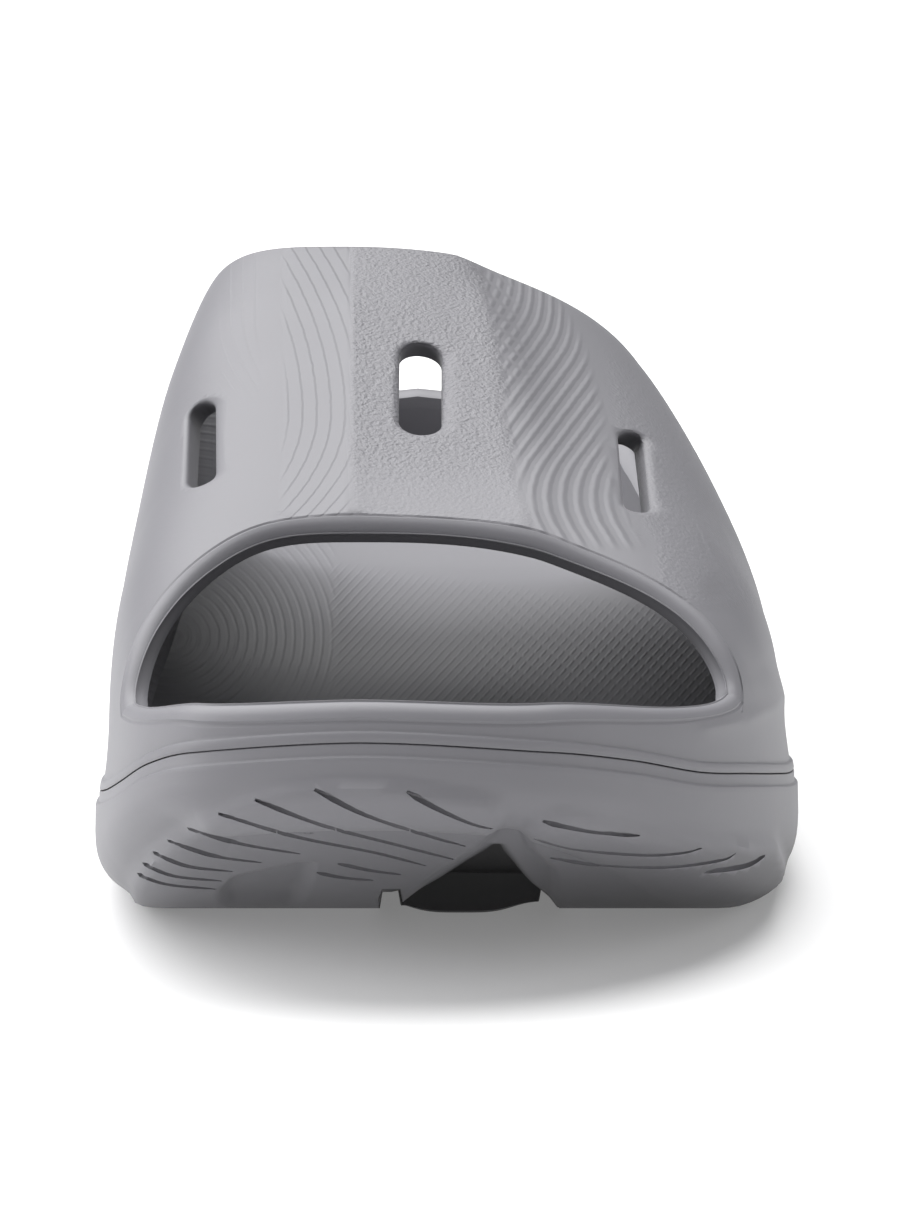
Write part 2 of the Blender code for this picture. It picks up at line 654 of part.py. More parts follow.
def slot_cutter(name, row, into):
    """A round-ended bar through the strap, pulled out forward of square to its outer face."""
    back, across, lean, width, skew, length = row
    form = SIDES[MEDIAL if across < float(section("ridge", back)) else LATERAL]
    side_power, crown_power = form.powers(back)
    share = np.clip(abs(across * BALL_WIDTH - ridge_line(back)) / form.half(back), 0, 1)
    angle = np.arccos(share ** (side_power / 2))
    u, v = np.cos(angle) ** (2 / side_power), np.sin(angle) ** (2 / crown_power)
    spot = form.point(np.array([back]), np.array([float(angle)]))[0]
    out = form.normal(np.array([back]), np.array([float(u)]), np.array([float(v)]))[0]
    straight_run = unit(np.cross(out, [1.0, 0.0, 0.0]))
    straight_wide = np.cross(straight_run, out)
    turn = math.radians(lean)
    run = straight_run * math.cos(turn) + straight_wide * math.sin(turn)
    wide = straight_wide * math.cos(turn) - straight_run * math.sin(turn) + run * skew
    turns = np.linspace(0, 2 * math.pi, 24, endpoint=False) + math.pi / 24
    radius = SLOT_WIDTH * width / 2
    cap = radius * SLOT_END
    straight = SLOT_LENGTH * length / 2 - cap
    rim = [
        run * (math.copysign(straight, math.cos(t)) + cap * math.cos(t)) + wide * radius * math.sin(t)
        for t in turns
    ]
    pull = unit(out + np.array([0.0, -SLOT_PULL, 0.0]))
    reach = WALL * 2.8
    ends = [[spot + p + pull * way * reach for p in rim] for way in (-1, 1)]
    work = bmesh.new()
    loops = [[work.verts.new(p) for p in end] for end in ends]
    for loop in loops:
        work.faces.new(loop)
    for i in range(len(rim)):
        j = (i + 1) % len(rim)
        work.faces.new((loops[0][i], loops[0][j], loops[1][j], loops[1][i]))
    bmesh.ops.recalc_face_normals(work, faces=work.faces)
    mesh = bpy.data.meshes.new(name)
    work.to_mesh(mesh)
    work.free()
    return guide(place(name, mesh, into))


def cut(target, cutters):
    for cutter in cutters:
        modifier = target.modifiers.new("cut_" + cutter.name, "BOOLEAN")
        modifier.operation = "DIFFERENCE"
        modifier.solver = "EXACT"
        modifier.object = cutter


def smooth(obj):
    obj.data.shade_smooth()
    obj.data.set_sharp_from_angle(angle=math.radians(35))


def main():
    for old in list(bpy.data.objects):
        bpy.data.objects.remove(old)
    sandal = collection("sport_slide")
    cutters = collection("cutters")
    grey = foam("grey_foam", (0.36, 0.36, 0.38), 0.62)
    under_grey = foam("grey_sole_foam", (0.31, 0.31, 0.325), 0.6)
    upper = place("upper", upper_mesh(), sandal, grey)
    sole = place("sole", sole_mesh(), sandal, under_grey)
    cut(upper, [slot_cutter(f"slot_{i}", row, cutters) for i, row in enumerate(SLOTS)])
    cut(sole, [channel_cutter(name, rows, cutters) for name, rows in CHANNELS.items()])
    for obj in (upper, sole):
        smooth(obj)


main()
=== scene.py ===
"""Sport slide sandal seen from the toe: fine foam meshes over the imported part, in a pale studio.

The frame is the part's own: -Y to the toe, +X to the outer side of the foot, Z up, metres.
"""

import json
import math

import bmesh
import bpy
import numpy as np
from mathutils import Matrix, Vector
from mathutils.bvhtree import BVHTree

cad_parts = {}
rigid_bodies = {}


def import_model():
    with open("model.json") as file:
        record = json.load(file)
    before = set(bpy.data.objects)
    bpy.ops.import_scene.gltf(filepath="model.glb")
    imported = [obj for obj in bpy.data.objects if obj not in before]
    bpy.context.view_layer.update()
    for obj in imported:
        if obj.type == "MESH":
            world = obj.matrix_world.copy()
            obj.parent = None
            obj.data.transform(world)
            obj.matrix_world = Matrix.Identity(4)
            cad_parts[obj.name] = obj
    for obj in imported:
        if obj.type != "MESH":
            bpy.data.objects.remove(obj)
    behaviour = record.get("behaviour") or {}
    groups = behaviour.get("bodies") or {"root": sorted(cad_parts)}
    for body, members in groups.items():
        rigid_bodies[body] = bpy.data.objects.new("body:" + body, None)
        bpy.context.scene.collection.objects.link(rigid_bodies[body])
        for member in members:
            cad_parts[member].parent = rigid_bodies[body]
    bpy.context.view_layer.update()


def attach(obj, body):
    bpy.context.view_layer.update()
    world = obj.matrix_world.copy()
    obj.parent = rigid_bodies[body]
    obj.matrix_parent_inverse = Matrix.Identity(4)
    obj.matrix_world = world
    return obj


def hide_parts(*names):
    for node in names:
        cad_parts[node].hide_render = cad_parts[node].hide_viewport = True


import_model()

# Driving sizes
LENGTH = 0.292
BALL_WIDTH = 0.113
INSTEP_TOP = 0.0950
HEEL_STACK = 0.0365
TOE_SPRING = 0.032
HEEL_LIFT = 0.013
WAIST_LIFT = 0.002
SEAM_TOP = 0.0405
RIM_RISE = 0.017
WALL = 0.0054
TOP_LAYER = 0.006
GAP = 0.0003

# Footbed relief, over the plain footbed line
ARCH_RISE = 0.0085
CUP_RISE = 0.0045

# The two sides, as signs of x
MEDIAL = -1
LATERAL = 1
SIDE_NAMES = {MEDIAL: "medial", LATERAL: "lateral"}

# Distances from the toe at which the strap's edges meet the rim and the top line
MOUTH_CORNER = {MEDIAL: 0.040, LATERAL: 0.050}
MOUTH_TOP = 0.073
REAR_TOP = 0.165
REAR_CORNER = 0.200

# Side of the shoe, at the seam between the two mouldings
SEAM_INSET = 0.0012
FACET_DEPTH = 0.0017
FACET_SOFT = 0.07
FACET_PEAK = 4 / 27
LIP_HEIGHT = 0.0016
LIP_OUT = 0.0005
BAND_HEIGHT = 0.0021
LEDGE_WIDTH = 0.005
NEST_SLOPE = 0.007
SKIRT_FLARE = 0.0012
SKIRT_HEIGHT = 0.012
TOE_LEAN = 0.14
LEAN_REACH = 0.045

# Underside of the sole
EDGE_INSET = 0.014
RIDGE_SHARE = 0.62
CHANNEL_DRAFT = 0.0012
CHANNEL_DEPTH = 0.0045
PAD_DROP = 0.0018
PAD_START = 0.185
PAD_END = 0.36
PAD_EASE = 0.035
PAD_MIDDLE_SHARE = 0.030
PAD_WIDTH_SHARE = 0.105

# Air slots through the strap
SLOT_LENGTH = 0.0315
SLOT_WIDTH = 0.0070
SLOT_END = 1.35
SLOT_PULL = 1.37
SLOT_TURNS = 64
SLOT_BENDS = (70, 52, 35, 18, 0)

# One row is a section across the shoe, back its share of LENGTH from the toe tip.
# medial, lateral and ridge are shares of BALL_WIDTH from the middle line, outward for the first two.
# spring, lift and waist are shares of TOE_SPRING, HEEL_LIFT and WAIST_LIFT, stack of HEEL_STACK.
# The seams are shares of SEAM_TOP, rim of RIM_RISE, top of INSTEP_TOP and wall of WALL.
# side and crown are the powers of each side's section, corner that of the sole's edge.
# LEVEL_COLUMNS run level at both tips, so the two sides meet smoothly there.
SECTION_COLUMNS = (
    "back", "medial", "lateral", "ridge", "spring", "lift", "waist", "stack", "seam_medial", "seam_lateral",
    "rim", "top", "wall", "side_medial", "side_lateral", "crown_medial", "crown_lateral", "corner",
)  # fmt: skip
LEVEL_COLUMNS = ("spring", "stack", "seam_medial", "seam_lateral", "rim", "top")
SECTIONS = (
    (0, 0.111, -0.111, -0.111, 1, 0, 0, 0.26, 1, 1, 0.255, 0.59, 1, 3.2, 3.2, 3.2, 3.2, 2.2),
    (0.02, 0.332, 0.137, -0.111, 0.98, 0, 0, 0.27, 0.938, 0.94, 0.19, 0.578, 1, 3.2, 3.2, 3.2, 3.2, 2.2),
    (0.05, 0.389, 0.239, -0.112, 0.83, 0, 0, 0.305, 0.86, 0.872, 0.31, 0.567, 0.95, 3.3, 3.2, 3.3, 3.2, 2.2),
    (0.1, 0.435, 0.342, -0.113, 0.57, 0, 0, 0.42, 0.725, 0.757, 0.4, 0.565, 0.82, 3.4, 3.2, 3.5, 3.2, 2.2),
    (0.155, 0.462, 0.409, -0.114, 0.31, 0, 0, 0.57, 0.617, 0.677, 0.48, 0.58, 0.74, 3.4, 3.1, 3.7, 3.2, 2.3),
    (0.21, 0.48, 0.453, -0.115, 0.13, 0, 0, 0.7, 0.533, 0.6, 0.62, 0.62, 0.74, 3.3, 2.9, 3.7, 3.1, 2.4),
    (0.275, 0.492, 0.485, -0.125, 0.025, 0, 0, 0.78, 0.449, 0.514, 0.62, 0.695, 0.78, 3.1, 2.6, 3.7, 3, 2.5),
    (0.32, 0.496, 0.497, -0.132, 0, 0, 0, 0.783, 0.405, 0.465, 0.61, 0.747, 0.8, 3, 2.4, 3.5, 2.9, 2.6),
    (0.345, 0.496, 0.5, -0.138, 0, 0, 0, 0.785, 0.383, 0.44, 0.61, 0.777, 0.81, 3, 2.3, 3.4, 2.8, 2.6),
    (0.41, 0.489, 0.499, -0.148, 0, 0, 0, 0.79, 0.353, 0.395, 0.6, 0.855, 0.84, 3, 2.15, 3.7, 2.7, 2.6),
    (0.5, 0.465, 0.478, -0.157, 0, 0, 0.8, 0.82, 0.36, 0.405, 0.59, 0.953, 0.87, 3.6, 2.1, 4.4, 2.65, 2.6),
    (0.6, 0.435, 0.43, -0.155, 0, 0, 0.8, 0.885, 0.435, 0.469, 0.59, 1.012, 0.92, 3.6, 2.2, 4.8, 2.65, 2.6),
    (0.7, 0.421, 0.386, -0.135, 0, 0, 0, 0.94, 0.53, 0.556, 0.62, 0.99, 1, 3.3, 2.5, 4, 2.8, 2.6),
    (0.8, 0.423, 0.354, -0.105, 0, 0, 0, 0.985, 0.617, 0.637, 0.69, 0.93, 1, 3, 2.9, 3.2, 3, 2.6),
    (0.875, 0.418, 0.329, -0.08, 0, 0.17, 0, 0.97, 0.679, 0.691, 0.8, 0.88, 1, 3, 3, 3, 3, 2.5),
    (0.925, 0.384, 0.29, -0.065, 0, 0.43, 0, 0.885, 0.725, 0.73, 0.88, 0.85, 1, 3, 3, 3, 3, 2.5),
    (0.965, 0.306, 0.207, -0.057, 0, 0.74, 0, 0.775, 0.765, 0.766, 0.94, 0.83, 1, 3, 3, 3, 3, 2.5),
    (1, 0.053, -0.053, -0.053, 0, 1, 0, 0.68, 0.802, 0.802, 1, 0.815, 1, 3, 3, 3, 3, 2.5),
)

# How far the strap's edge has climbed from the rim to the top line, over the run of each edge
EDGE_COLUMNS = ("run", "climb")
EDGE_CLIMB = ((0, 0), (0.12, 0.1), (0.3, 0.38), (0.55, 0.68), (0.8, 0.89), (1, 1))

# The strap's lateral shoulder is flatter than a round section, from a fold line outward.
# start and end are shares of the section's reach, and depth of FACET_DEPTH.
FACET_COLUMNS = ("back", "start", "end", "depth")
FACET = (
    (0.25, 0.435, 0.84, 0.25), (0.34, 0.41, 0.84, 0.6), (0.45, 0.375, 0.84, 1), (0.56, 0.29, 0.84, 1),
    (0.7, 0.25, 0.84, 1),
)  # fmt: skip

# Channels of the underside: back is a share of LENGTH, left and right of BALL_WIDTH, depth of
# CHANNEL_DEPTH. The side channel is shallow and is pressed in, the others are cut.
CHANNEL_COLUMNS = ("back", "left", "right", "depth")
CHANNELS = {
    "arrow": (
        (0.085, 0.058, 0.074, 0.5), (0.12, 0.01, 0.098, 1.2), (0.165, -0.045, 0.13, 1.35),
        (0.215, -0.098, 0.162, 1),
    ),
    "inner": ((0.2, -0.094, -0.058, 1), (0.33, -0.104, -0.066, 1), (0.5, -0.085, -0.045, 1)),
    "outer": ((0.2, 0.12, 0.156, 1), (0.33, 0.128, 0.166, 1), (0.5, 0.095, 0.135, 1)),
    "side": (
        (0.102, -0.195, -0.178, 0.2), (0.127, -0.287, -0.183, 0.35), (0.154, -0.305, -0.196, 0.35),
        (0.215, -0.3, -0.215, 0.35), (0.38, -0.285, -0.262, 0.3),
    ),
    "waist": (
        (0.455, -0.105, 0.16, 0.8), (0.51, -0.16, 0.195, 1.2), (0.58, -0.215, 0.175, 1.3),
        (0.65, -0.165, 0.11, 1.1), (0.7, -0.09, 0.02, 0.9),
    ),
    "heel": ((0.69, -0.09, 0.015, 0.9), (0.83, -0.088, -0.01, 0.9), (1.03, -0.11, 0, 0.5)),
    "notch": ((0.14, -0.094, -0.056, 0.12), (0.172, -0.1, -0.054, 0.22), (0.215, -0.1, -0.056, 0.3)),
}  # fmt: skip

# Air slots: back and across are shares of LENGTH and BALL_WIDTH, lean that of the long axis in degrees,
# width and length shares of SLOT_WIDTH and SLOT_LENGTH, skew how far the ends slide over the width
SLOTS = (
    (0.355, -0.352, -2, 0.72, -0.35, 0.93),
    (0.385, -0.038, 0, 1, 0, 0.98),
    (0.362, 0.271, 1.5, 0.66, 0.65, 1.14),
)

# Number of strips in each run of the ring, from the toe tip to the heel tip, and across
RUN_STRIPS = (60, 44, 58, 44, 64)
WALL_STRIPS = 74
INNER_STRIPS = 30
BED_STRIPS = 60
NEST_STRIPS = 8
TREAD_STRIPS = 150
SIDE_STRIPS = 15
STRIP_FAN = 0.35
BED_INSET = 0.0022
MM = 0.001

# The camera, in metres and degrees
CAMERA_PLACE = np.array([0.002, -1.046, 0.2099])
CAMERA_PITCH = 9.474
LENS = 185.2
FORWARD = np.array([0, math.cos(math.radians(CAMERA_PITCH)), -math.sin(math.radians(CAMERA_PITCH))])
UPWARD = np.array([0, -FORWARD[2], FORWARD[1]])

# Section of the free edge: a share of the wall from its outer skin, and how far out, over half the wall
BEAD_PROFILE = (
    (0, 0), (0.055, 0.14), (0.055, 0.24), (0.03, 0.34), (0.09, 0.62), (0.2, 0.86), (0.32, 1), (0.42, 1.06),
    (0.455, 1.07), (0.475, 1.17), (0.5, 1.18), (0.535, 1.13), (0.62, 1.04), (0.76, 0.95), (0.9, 0.86),
    (1, 0.74), (1, 0),
)  # fmt: skip
BEAD_SKIN = np.linspace(0, 1, len(BEAD_PROFILE))
# Section of the lip over the seam, and of the band under it: shares of their heights and of LIP_OUT
LIP_PROFILE = ((0, 0.3), (0.07, 0.8), (0.2, 1), (0.8, 1), (0.93, 0.8), (1, 0.22), (1.08, 0))
BAND_PROFILE = ((0, 0.3), (0.07, 0.8), (0.2, 1), (0.78, 1), (0.9, 1.35), (0.98, 2), (1.1, 2.2))

# Soft studio lamps: where each shines from, its strength and its spread in degrees
SUNS = {
    "top": ((-0.2, 0.3, 0.93), 1.7, 75),
    "left": ((-0.95, -0.1, 0.3), 0.8, 60),
    "right": ((0.95, -0.15, 0.25), 0.24, 60),
}
FLOOR_GREY = 0.7
FLOOR_GLOW = 0.19
FLOOR_ROUGHNESS = 0.9
FLOOR_REACH = 20
WORLD_STRENGTH = 0.2
WORLD_COLOUR = (0.97, 0.98, 1, 1)

# The foam, and what is left of its colour where shade is painted darkest
FOAM_COLOUR = (0.160, 0.158, 0.171)
FOAM_ROUGHNESS = 0.52
FOAM_SPECULAR = 0.42
DARKEST = 0.12
SHARP_DEGREES = 38

# Moulded lines of the upper: pitch in front-view millimetres, and height in the bump map
PITCH = {"terraces": 2.25, "weak": 1.9, "ribs": 2.45, "side ribs": 1.7, "arcs": 1.5, "slants": 1.55}
BUMP = {"lines": 0.1, "ribs": 0.13, "arcs": 0.06, "slants": 0.07, "grain": 0.42, "wobble": 0.13}
LINE_WIDTH = 0.3
RIB_WIDTH = 0.38
TERRACE_DROP = 0.16
FINE_GRAIN = ((1500, 0.012), (260, 0.02))
GRAIN_SCALE = 1500
WOBBLE_SCALE = 420
RIBS_END = ((15.1, 51.3), (20.9, 38.6), (22.2, 29.1), (24.5, 18), (28.5, 10.9))

# Round edges of the air slots
SLOT_ROUND_OUT = 0.0012
SLOT_ROUND_IN = 0.0007
SLOT_LATERAL_ROUND = 1.4
SLOT_CLEAR = 0.0013

# Soft folds and troughs of the upper: height and width in millimetres, sharpness and path. A path's
# points are places in the front view, in millimetres at one metre from the camera, from its middle.
CREASES = {
    "left facet": (0.5, 4, 1.1, ((-17.4, 58), (-17.1, 50), (-17.1, 34), (-17.3, 16))),
    "right facet": (0.75, 4.5, 1.1, ((2.2, 57), (4.4, 45), (6, 37), (6.8, 29), (8.2, 23), (10.5, 16))),
    "corner fold": (0.4, 1.5, 1.6, ((53, -10.5), (49.8, -14.8), (45.5, -16.9), (39.3, -18.2))),
    "corner trough": (-0.45, 2.4, 2, ((41.5, 3), (46, -3.5), (48.2, -8))),
}

# Raised tread lobes of the toe, and the grooves across them, in the same front view
LOBE_HEIGHT = 0.0014
LOBE_EDGE = 1.05
LOBES = {
    "medial": (
        (-51.6, -46), (-51.8, -42), (-50.4, -39.4), (-48.6, -37.4), (-46.3, -35.4), (-43.1, -33.2),
        (-38.3, -30.9), (-32.5, -28.8), (-26.9, -27.4), (-18.2, -26.7), (-11.1, -26.8), (-7.1, -27.3),
        (-2.2, -28.3), (3.6, -29), (5.8, -30), (6.4, -31.6), (6, -33.2), (4.9, -34.4), (3, -36.2),
        (-4, -40.5), (-10, -46),
    ),
    "lateral": (
        (15, -46), (14.5, -39.4), (12.6, -37.6), (11.2, -36.2), (10.5, -34.6), (11.4, -33),
        (13.5, -31.6), (16.5, -31.2), (21.5, -32.2), (28.5, -34.2), (36, -35.4), (43, -35.6),
        (49.5, -36), (51, -40), (50, -46),
    ),
}  # fmt: skip
GROOVE_RADIUS = 0.00055
GROOVE_STEPS = 64
GROOVE_SIDES = 10
GROOVE_ROUNDS = 24
GROOVE_DEEP = 1.8
GROOVE_SINK = 0.4
GROOVE_TAPER = 0.12
GROOVES = {
    "medial": (
        ((-8.4, -28.2), (-4.1, -30.7), (1.4, -33.2), (5.1, -34.2)),
        ((-23.1, -27.8), (-15.1, -31.9), (-4.8, -35.3), (0.9, -36.9)),
        ((-32.5, -29.5), (-22, -33.5), (-9.5, -36.8), (-0.9, -39)),
        ((-38.3, -31.7), (-26.3, -35.3), (-13.5, -37.9), (-5.4, -40)),
        ((-43.1, -34.1), (-34.7, -36.5), (-25.3, -38.1)),
        ((-46.3, -36), (-39, -38.4), (-31.4, -39.5)),
        ((-48.6, -37.9), (-43.3, -40), (-36, -40.9)),
        ((-50.2, -39.7), (-45.3, -41.6), (-37.7, -42.4)),
        ((-51, -41.4), (-46.5, -42.9), (-38.7, -43.7)),
    ),
    "inner": (((-19.3, -39.6), (-14.3, -40.7), (-9.3, -41.4)), ((-22.7, -41), (-19, -41.8), (-13.7, -42.3))),
    "lateral": (
        ((13.1, -32.9), (17.4, -34), (22.3, -34.8), (28.5, -35.2)),
        ((11.6, -35.7), (18.1, -37.4), (28.7, -38.3), (35, -38), (38.3, -37.2)),
        ((14.3, -38.7), (22.3, -39.9), (33, -40.2), (41.4, -39.1), (43.7, -38)),
        ((38.8, -41), (45.2, -40), (48.3, -38.4)),
    ),
}


def smooth_table(rows, columns):
    """Returns look(name, share), which reads a table smoothly and never overshoots its rows."""
    table = np.array(rows, float)
    turns = np.arccos(np.clip(1 - 2 * table[:, 0], -1, 1)) if rows is SECTIONS else table[:, 0]

    def look(name, share):
        share = np.asarray(share, float)
        where = np.arccos(np.clip(1 - 2 * share, -1, 1)) if rows is SECTIONS else share
        values = table[:, columns.index(name)]
        steps = np.diff(turns)
        slopes = np.diff(values) / steps
        tangents = np.zeros(len(values))
        for i in range(1, len(values) - 1):
            before, after = slopes[i - 1], slopes[i]
            if before * after > 0:
                w1 = 2 * steps[i] + steps[i - 1]
                w2 = steps[i] + 2 * steps[i - 1]
                tangents[i] = (w1 + w2) / (w1 / before + w2 / after)
        if name not in LEVEL_COLUMNS:
            tangents[0], tangents[-1] = slopes[0], slopes[-1]
        i = np.clip(np.searchsorted(turns, where, side="right") - 1, 0, len(steps) - 1)
        t = np.clip((where - turns[i]) / steps[i], 0, 1)
        bend = (1 - t) * tangents[i] - t * tangents[i + 1]
        return values[i] + t * t * (3 - 2 * t) * (values[i + 1] - values[i]) + t * (1 - t) * steps[i] * bend

    return look


section = smooth_table(SECTIONS, SECTION_COLUMNS)
edge_climb = smooth_table(EDGE_CLIMB, EDGE_COLUMNS)
facet_row = smooth_table(FACET, FACET_COLUMNS)


def ground(back):
    """Height of the sole's underside on its middle line."""
    ends = TOE_SPRING * section("spring", back) + HEEL_LIFT * section("lift", back)
    return ends + WAIST_LIFT * section("waist", back)


def footbed_line(back):
    return ground(back) + HEEL_STACK * section("stack", back)


def seam(side, back):
    """Height of the line where the mouldings meet on the side."""
    return SEAM_TOP * section("seam_" + SIDE_NAMES[side], back)


def top_line(back):
    return INSTEP_TOP * section("top", back)


def ridge_line(back):
    """Where the strap's highest line lies across the shoe."""
    return BALL_WIDTH * section("ridge", back)


def half_width(side, back):
    """Outline of the sole at its widest, outward from the middle line."""
    return BALL_WIDTH * section(SIDE_NAMES[side], back)


def wall_depth(back):
    return WALL * section("wall", back)


def edge_height(side, back):
    """Height where the round of the free edge starts, on the rim and on the strap."""
    rim = footbed_line(back) + RIM_RISE * section("rim", back) - wall_depth(back) / 2
    at = back * LENGTH
    corner = MOUTH_CORNER[side]
    front = edge_climb("climb", np.clip((at - corner) / (MOUTH_TOP - corner), 0, 1))
    rear = edge_climb("climb", np.clip((REAR_CORNER - at) / (REAR_CORNER - REAR_TOP), 0, 1))
    return rim + np.minimum(front, rear) * (top_line(back) - rim)


def bed_height(back, across):
    """Top of the footbed; across runs from -1 at the medial wall to 1 at the lateral wall."""
    arch = np.exp(-(((back - 0.56) / 0.13) ** 2)) * np.clip(-across, 0, 1) ** 2.2
    heel = np.clip((back - 0.62) / 0.3, 0, 1) ** 1.5
    cup = (0.35 + 0.65 * heel) * np.abs(across) ** 3.5
    return footbed_line(back) + ARCH_RISE * arch + CUP_RISE * cup


def joint_height(back):
    """Where the two mouldings meet under the footbed."""
    return footbed_line(back) - TOP_LAYER


class Side:
    """One side of the upper's outer form: superelliptic sections from the seam to the top line."""

    def __init__(self, side):
        self.side = side

    def half(self, back):
        """Reach of the section from the ridge line to the wall at the seam."""
        reach = half_width(self.side, back) - (SEAM_INSET + SKIRT_FLARE) * self.fade(back)
        return np.maximum(reach - self.side * ridge_line(back), 1e-6)

    def fade(self, back):
        """1 along the shoe, falling to 0 at the two tips."""
        return np.sqrt(np.clip(4 * back * (1 - back), 0, 1))

    def powers(self, back):
        """How square the section is across and up."""
        name = SIDE_NAMES[self.side]
        return section("side_" + name, back), section("crown_" + name, back)

    def angle_at(self, back, height):
        """Section angle at which the wall has this height."""
        low = seam(self.side, back)
        share = np.clip((height - low) / (top_line(back) - low), 0, 1)
        return np.arcsin(np.clip(share ** (self.powers(back)[1] / 2), 0, 1))

    def point(self, back, angle, out=0.0):
        """A point of the outer form, moved out along its normal."""
        low = seam(self.side, back)
        rise = top_line(back) - low
        side_power, crown_power = self.powers(back)
        u = np.cos(angle) ** (2 / side_power)
        v = np.sin(angle) ** (2 / crown_power)
        height = v * rise
        flare = SKIRT_FLARE * self.fade(back) * np.clip(1 - height / SKIRT_HEIGHT, 0, 1) ** 2
        x = ridge_line(back) + self.side * (self.half(back) * u + flare)
        at = back * LENGTH + SEAM_INSET * (1 - 2 * back) * (1 - self.fade(back)) + self.lean(back) * height
        place = np.stack([x, at - LENGTH / 2, low + height], -1)
        return place + (np.asarray(out) - self.facet(back, u))[..., None] * self.normal(back, u, v)

    def facet(self, back, u):
        """How far the lateral shoulder of the strap is pressed in."""
        start, end = facet_row("start", back), facet_row("end", back)
        t = np.clip((u - start) / (end - start), 0, 1)
        t = t * t * (1 + FACET_SOFT) / (t + FACET_SOFT)
        dip = t * (1 - t) ** 2 / FACET_PEAK
        return FACET_DEPTH * facet_row("depth", back) * dip * (self.side == LATERAL)

    def lean(self, back):
        """Backward lean of the toe wall, and forward lean of the heel wall, per height."""
        at = back * LENGTH
        front = np.clip(1 - at / LEAN_REACH, 0, 1) ** 2
        rear = np.clip(1 - (LENGTH - at) / LEAN_REACH, 0, 1) ** 2
        return TOE_LEAN * (front - rear)

    def normal(self, back, u, v):
        """Outward normal of the outer form, from the slope of the section's equation."""
        turn = np.clip(np.arccos(np.clip(1 - 2 * back, -1, 1)), 0.02, math.pi - 0.02)
        share = (1 - np.cos(turn)) / 2
        step = 0.004
        low, rise, half = seam(self.side, share), top_line(share) - seam(self.side, share), self.half(share)
        x = ridge_line(share) + self.side * half * u
        z = low + rise * v

        def level(at_turn):
            at = (1 - np.cos(at_turn)) / 2
            across = np.abs(x - ridge_line(at)) / self.half(at)
            up = np.clip((z - seam(self.side, at)) / (top_line(at) - seam(self.side, at)), 0, None)
            return across**side_power + up**crown_power

        side_power, crown_power = self.powers(share)
        along = (level(turn + step) - level(turn - step)) / (2 * step)
        speed = LENGTH / 2 * np.sin(turn)
        across = self.side * side_power * np.clip(u, 0, 1) ** (side_power - 1) / half
        up = crown_power * np.clip(v, 0, 1) ** (crown_power - 1) / rise
        slope = np.stack([across * speed, along, up * speed], -1)
        tip = (back < 1e-6) | (back > 1 - 1e-6)
        slope[..., 0] = np.where(tip, 0, slope[..., 0])
        return slope / np.linalg.norm(slope, axis=-1, keepdims=True)


SIDES = {MEDIAL: Side(MEDIAL), LATERAL: Side(LATERAL)}


def run_spots(low, high, strips, ease):
    """Spots from low to high, closer together at the start or the end, or even."""
    t = np.linspace(0, 1, strips + 1)
    t = {"start": 1 - np.cos(t * math.pi / 2), "end": np.sin(t * math.pi / 2), "even": t}[ease]
    return low + (high - low) * t


def ring_columns(side):
    """Where each strip starts on the seam and ends on the free edge."""
    marks = [0, MOUTH_CORNER[side], MOUTH_TOP, REAR_TOP, REAR_CORNER, LENGTH]
    fan = STRIP_FAN * (REAR_TOP - MOUTH_TOP) / 2
    corner = (MOUTH_CORNER[MEDIAL] + MOUTH_CORNER[LATERAL]) / 2
    feet = [0, corner - fan / 3, MOUTH_TOP + fan, REAR_TOP - fan, REAR_CORNER + fan / 3, LENGTH]
    columns = []
    foot_ease, edge_ease = ("start", "even", "even", "even", "end"), ("start", "end", "even", "start", "end")
    for spots, eases in ((feet, foot_ease), (marks, edge_ease)):
        runs = [run_spots(*ends, n, ease)[1:] for *ends, n, ease in zip(spots, spots[1:], RUN_STRIPS, eases)]
        columns.append(np.concatenate([[0], *runs]) / LENGTH)
    return columns


SEAM_SPOTS = ring_columns(MEDIAL)[0]
EDGE_SPOTS = {side: ring_columns(side)[1] for side in (MEDIAL, LATERAL)}
FRONT_TOP = sum(RUN_STRIPS[:2])
BACK_TOP = sum(RUN_STRIPS[:3])


def row_shares(strips, low_crowding, high_crowding):
    """Shares from 0 to 1, closer together at the ends that are crowded."""
    t = np.linspace(0, 1, strips + 1)
    wave = np.sin(2 * math.pi * t) / (2 * math.pi)
    return t - low_crowding * wave * (1 - t) - high_crowding * wave * t


def edge_angles(side):
    angles = SIDES[side].angle_at(EDGE_SPOTS[side], edge_height(side, EDGE_SPOTS[side]))
    angles[FRONT_TOP : BACK_TOP + 1] = math.pi / 2
    return angles


def column_grid(side, low_angle, high_angle, shares, wall):
    """Points of the side between two section angles; wall 1 lies a wall's depth inside the form."""
    angle = low_angle + (high_angle - low_angle) * shares[None]
    back = SEAM_SPOTS[:, None] + (EDGE_SPOTS[side] - SEAM_SPOTS)[:, None] * angle / high_angle
    return SIDES[side].point(back, angle, -wall * wall_depth(back))


def front_view(points):
    """Where points lie in the front view."""
    away = points - CAMERA_PLACE
    return 1000 * np.stack([away[:, 0], away @ UPWARD], 1) / (away @ FORWARD)[:, None]


def path_distance(places, path, closed=False):
    """Distance of each place from a path of straight pieces."""
    path = np.array(path, float)
    nearest = np.full(len(places), np.inf)
    ends = np.roll(path, -1, 0) if closed else path[1:]
    for a, b in zip(path, ends):
        along = np.clip((places - a) @ (b - a) / ((b - a) @ (b - a)), 0, 1)
        nearest = np.minimum(nearest, np.linalg.norm(places - a - along[:, None] * (b - a), axis=1))
    return nearest


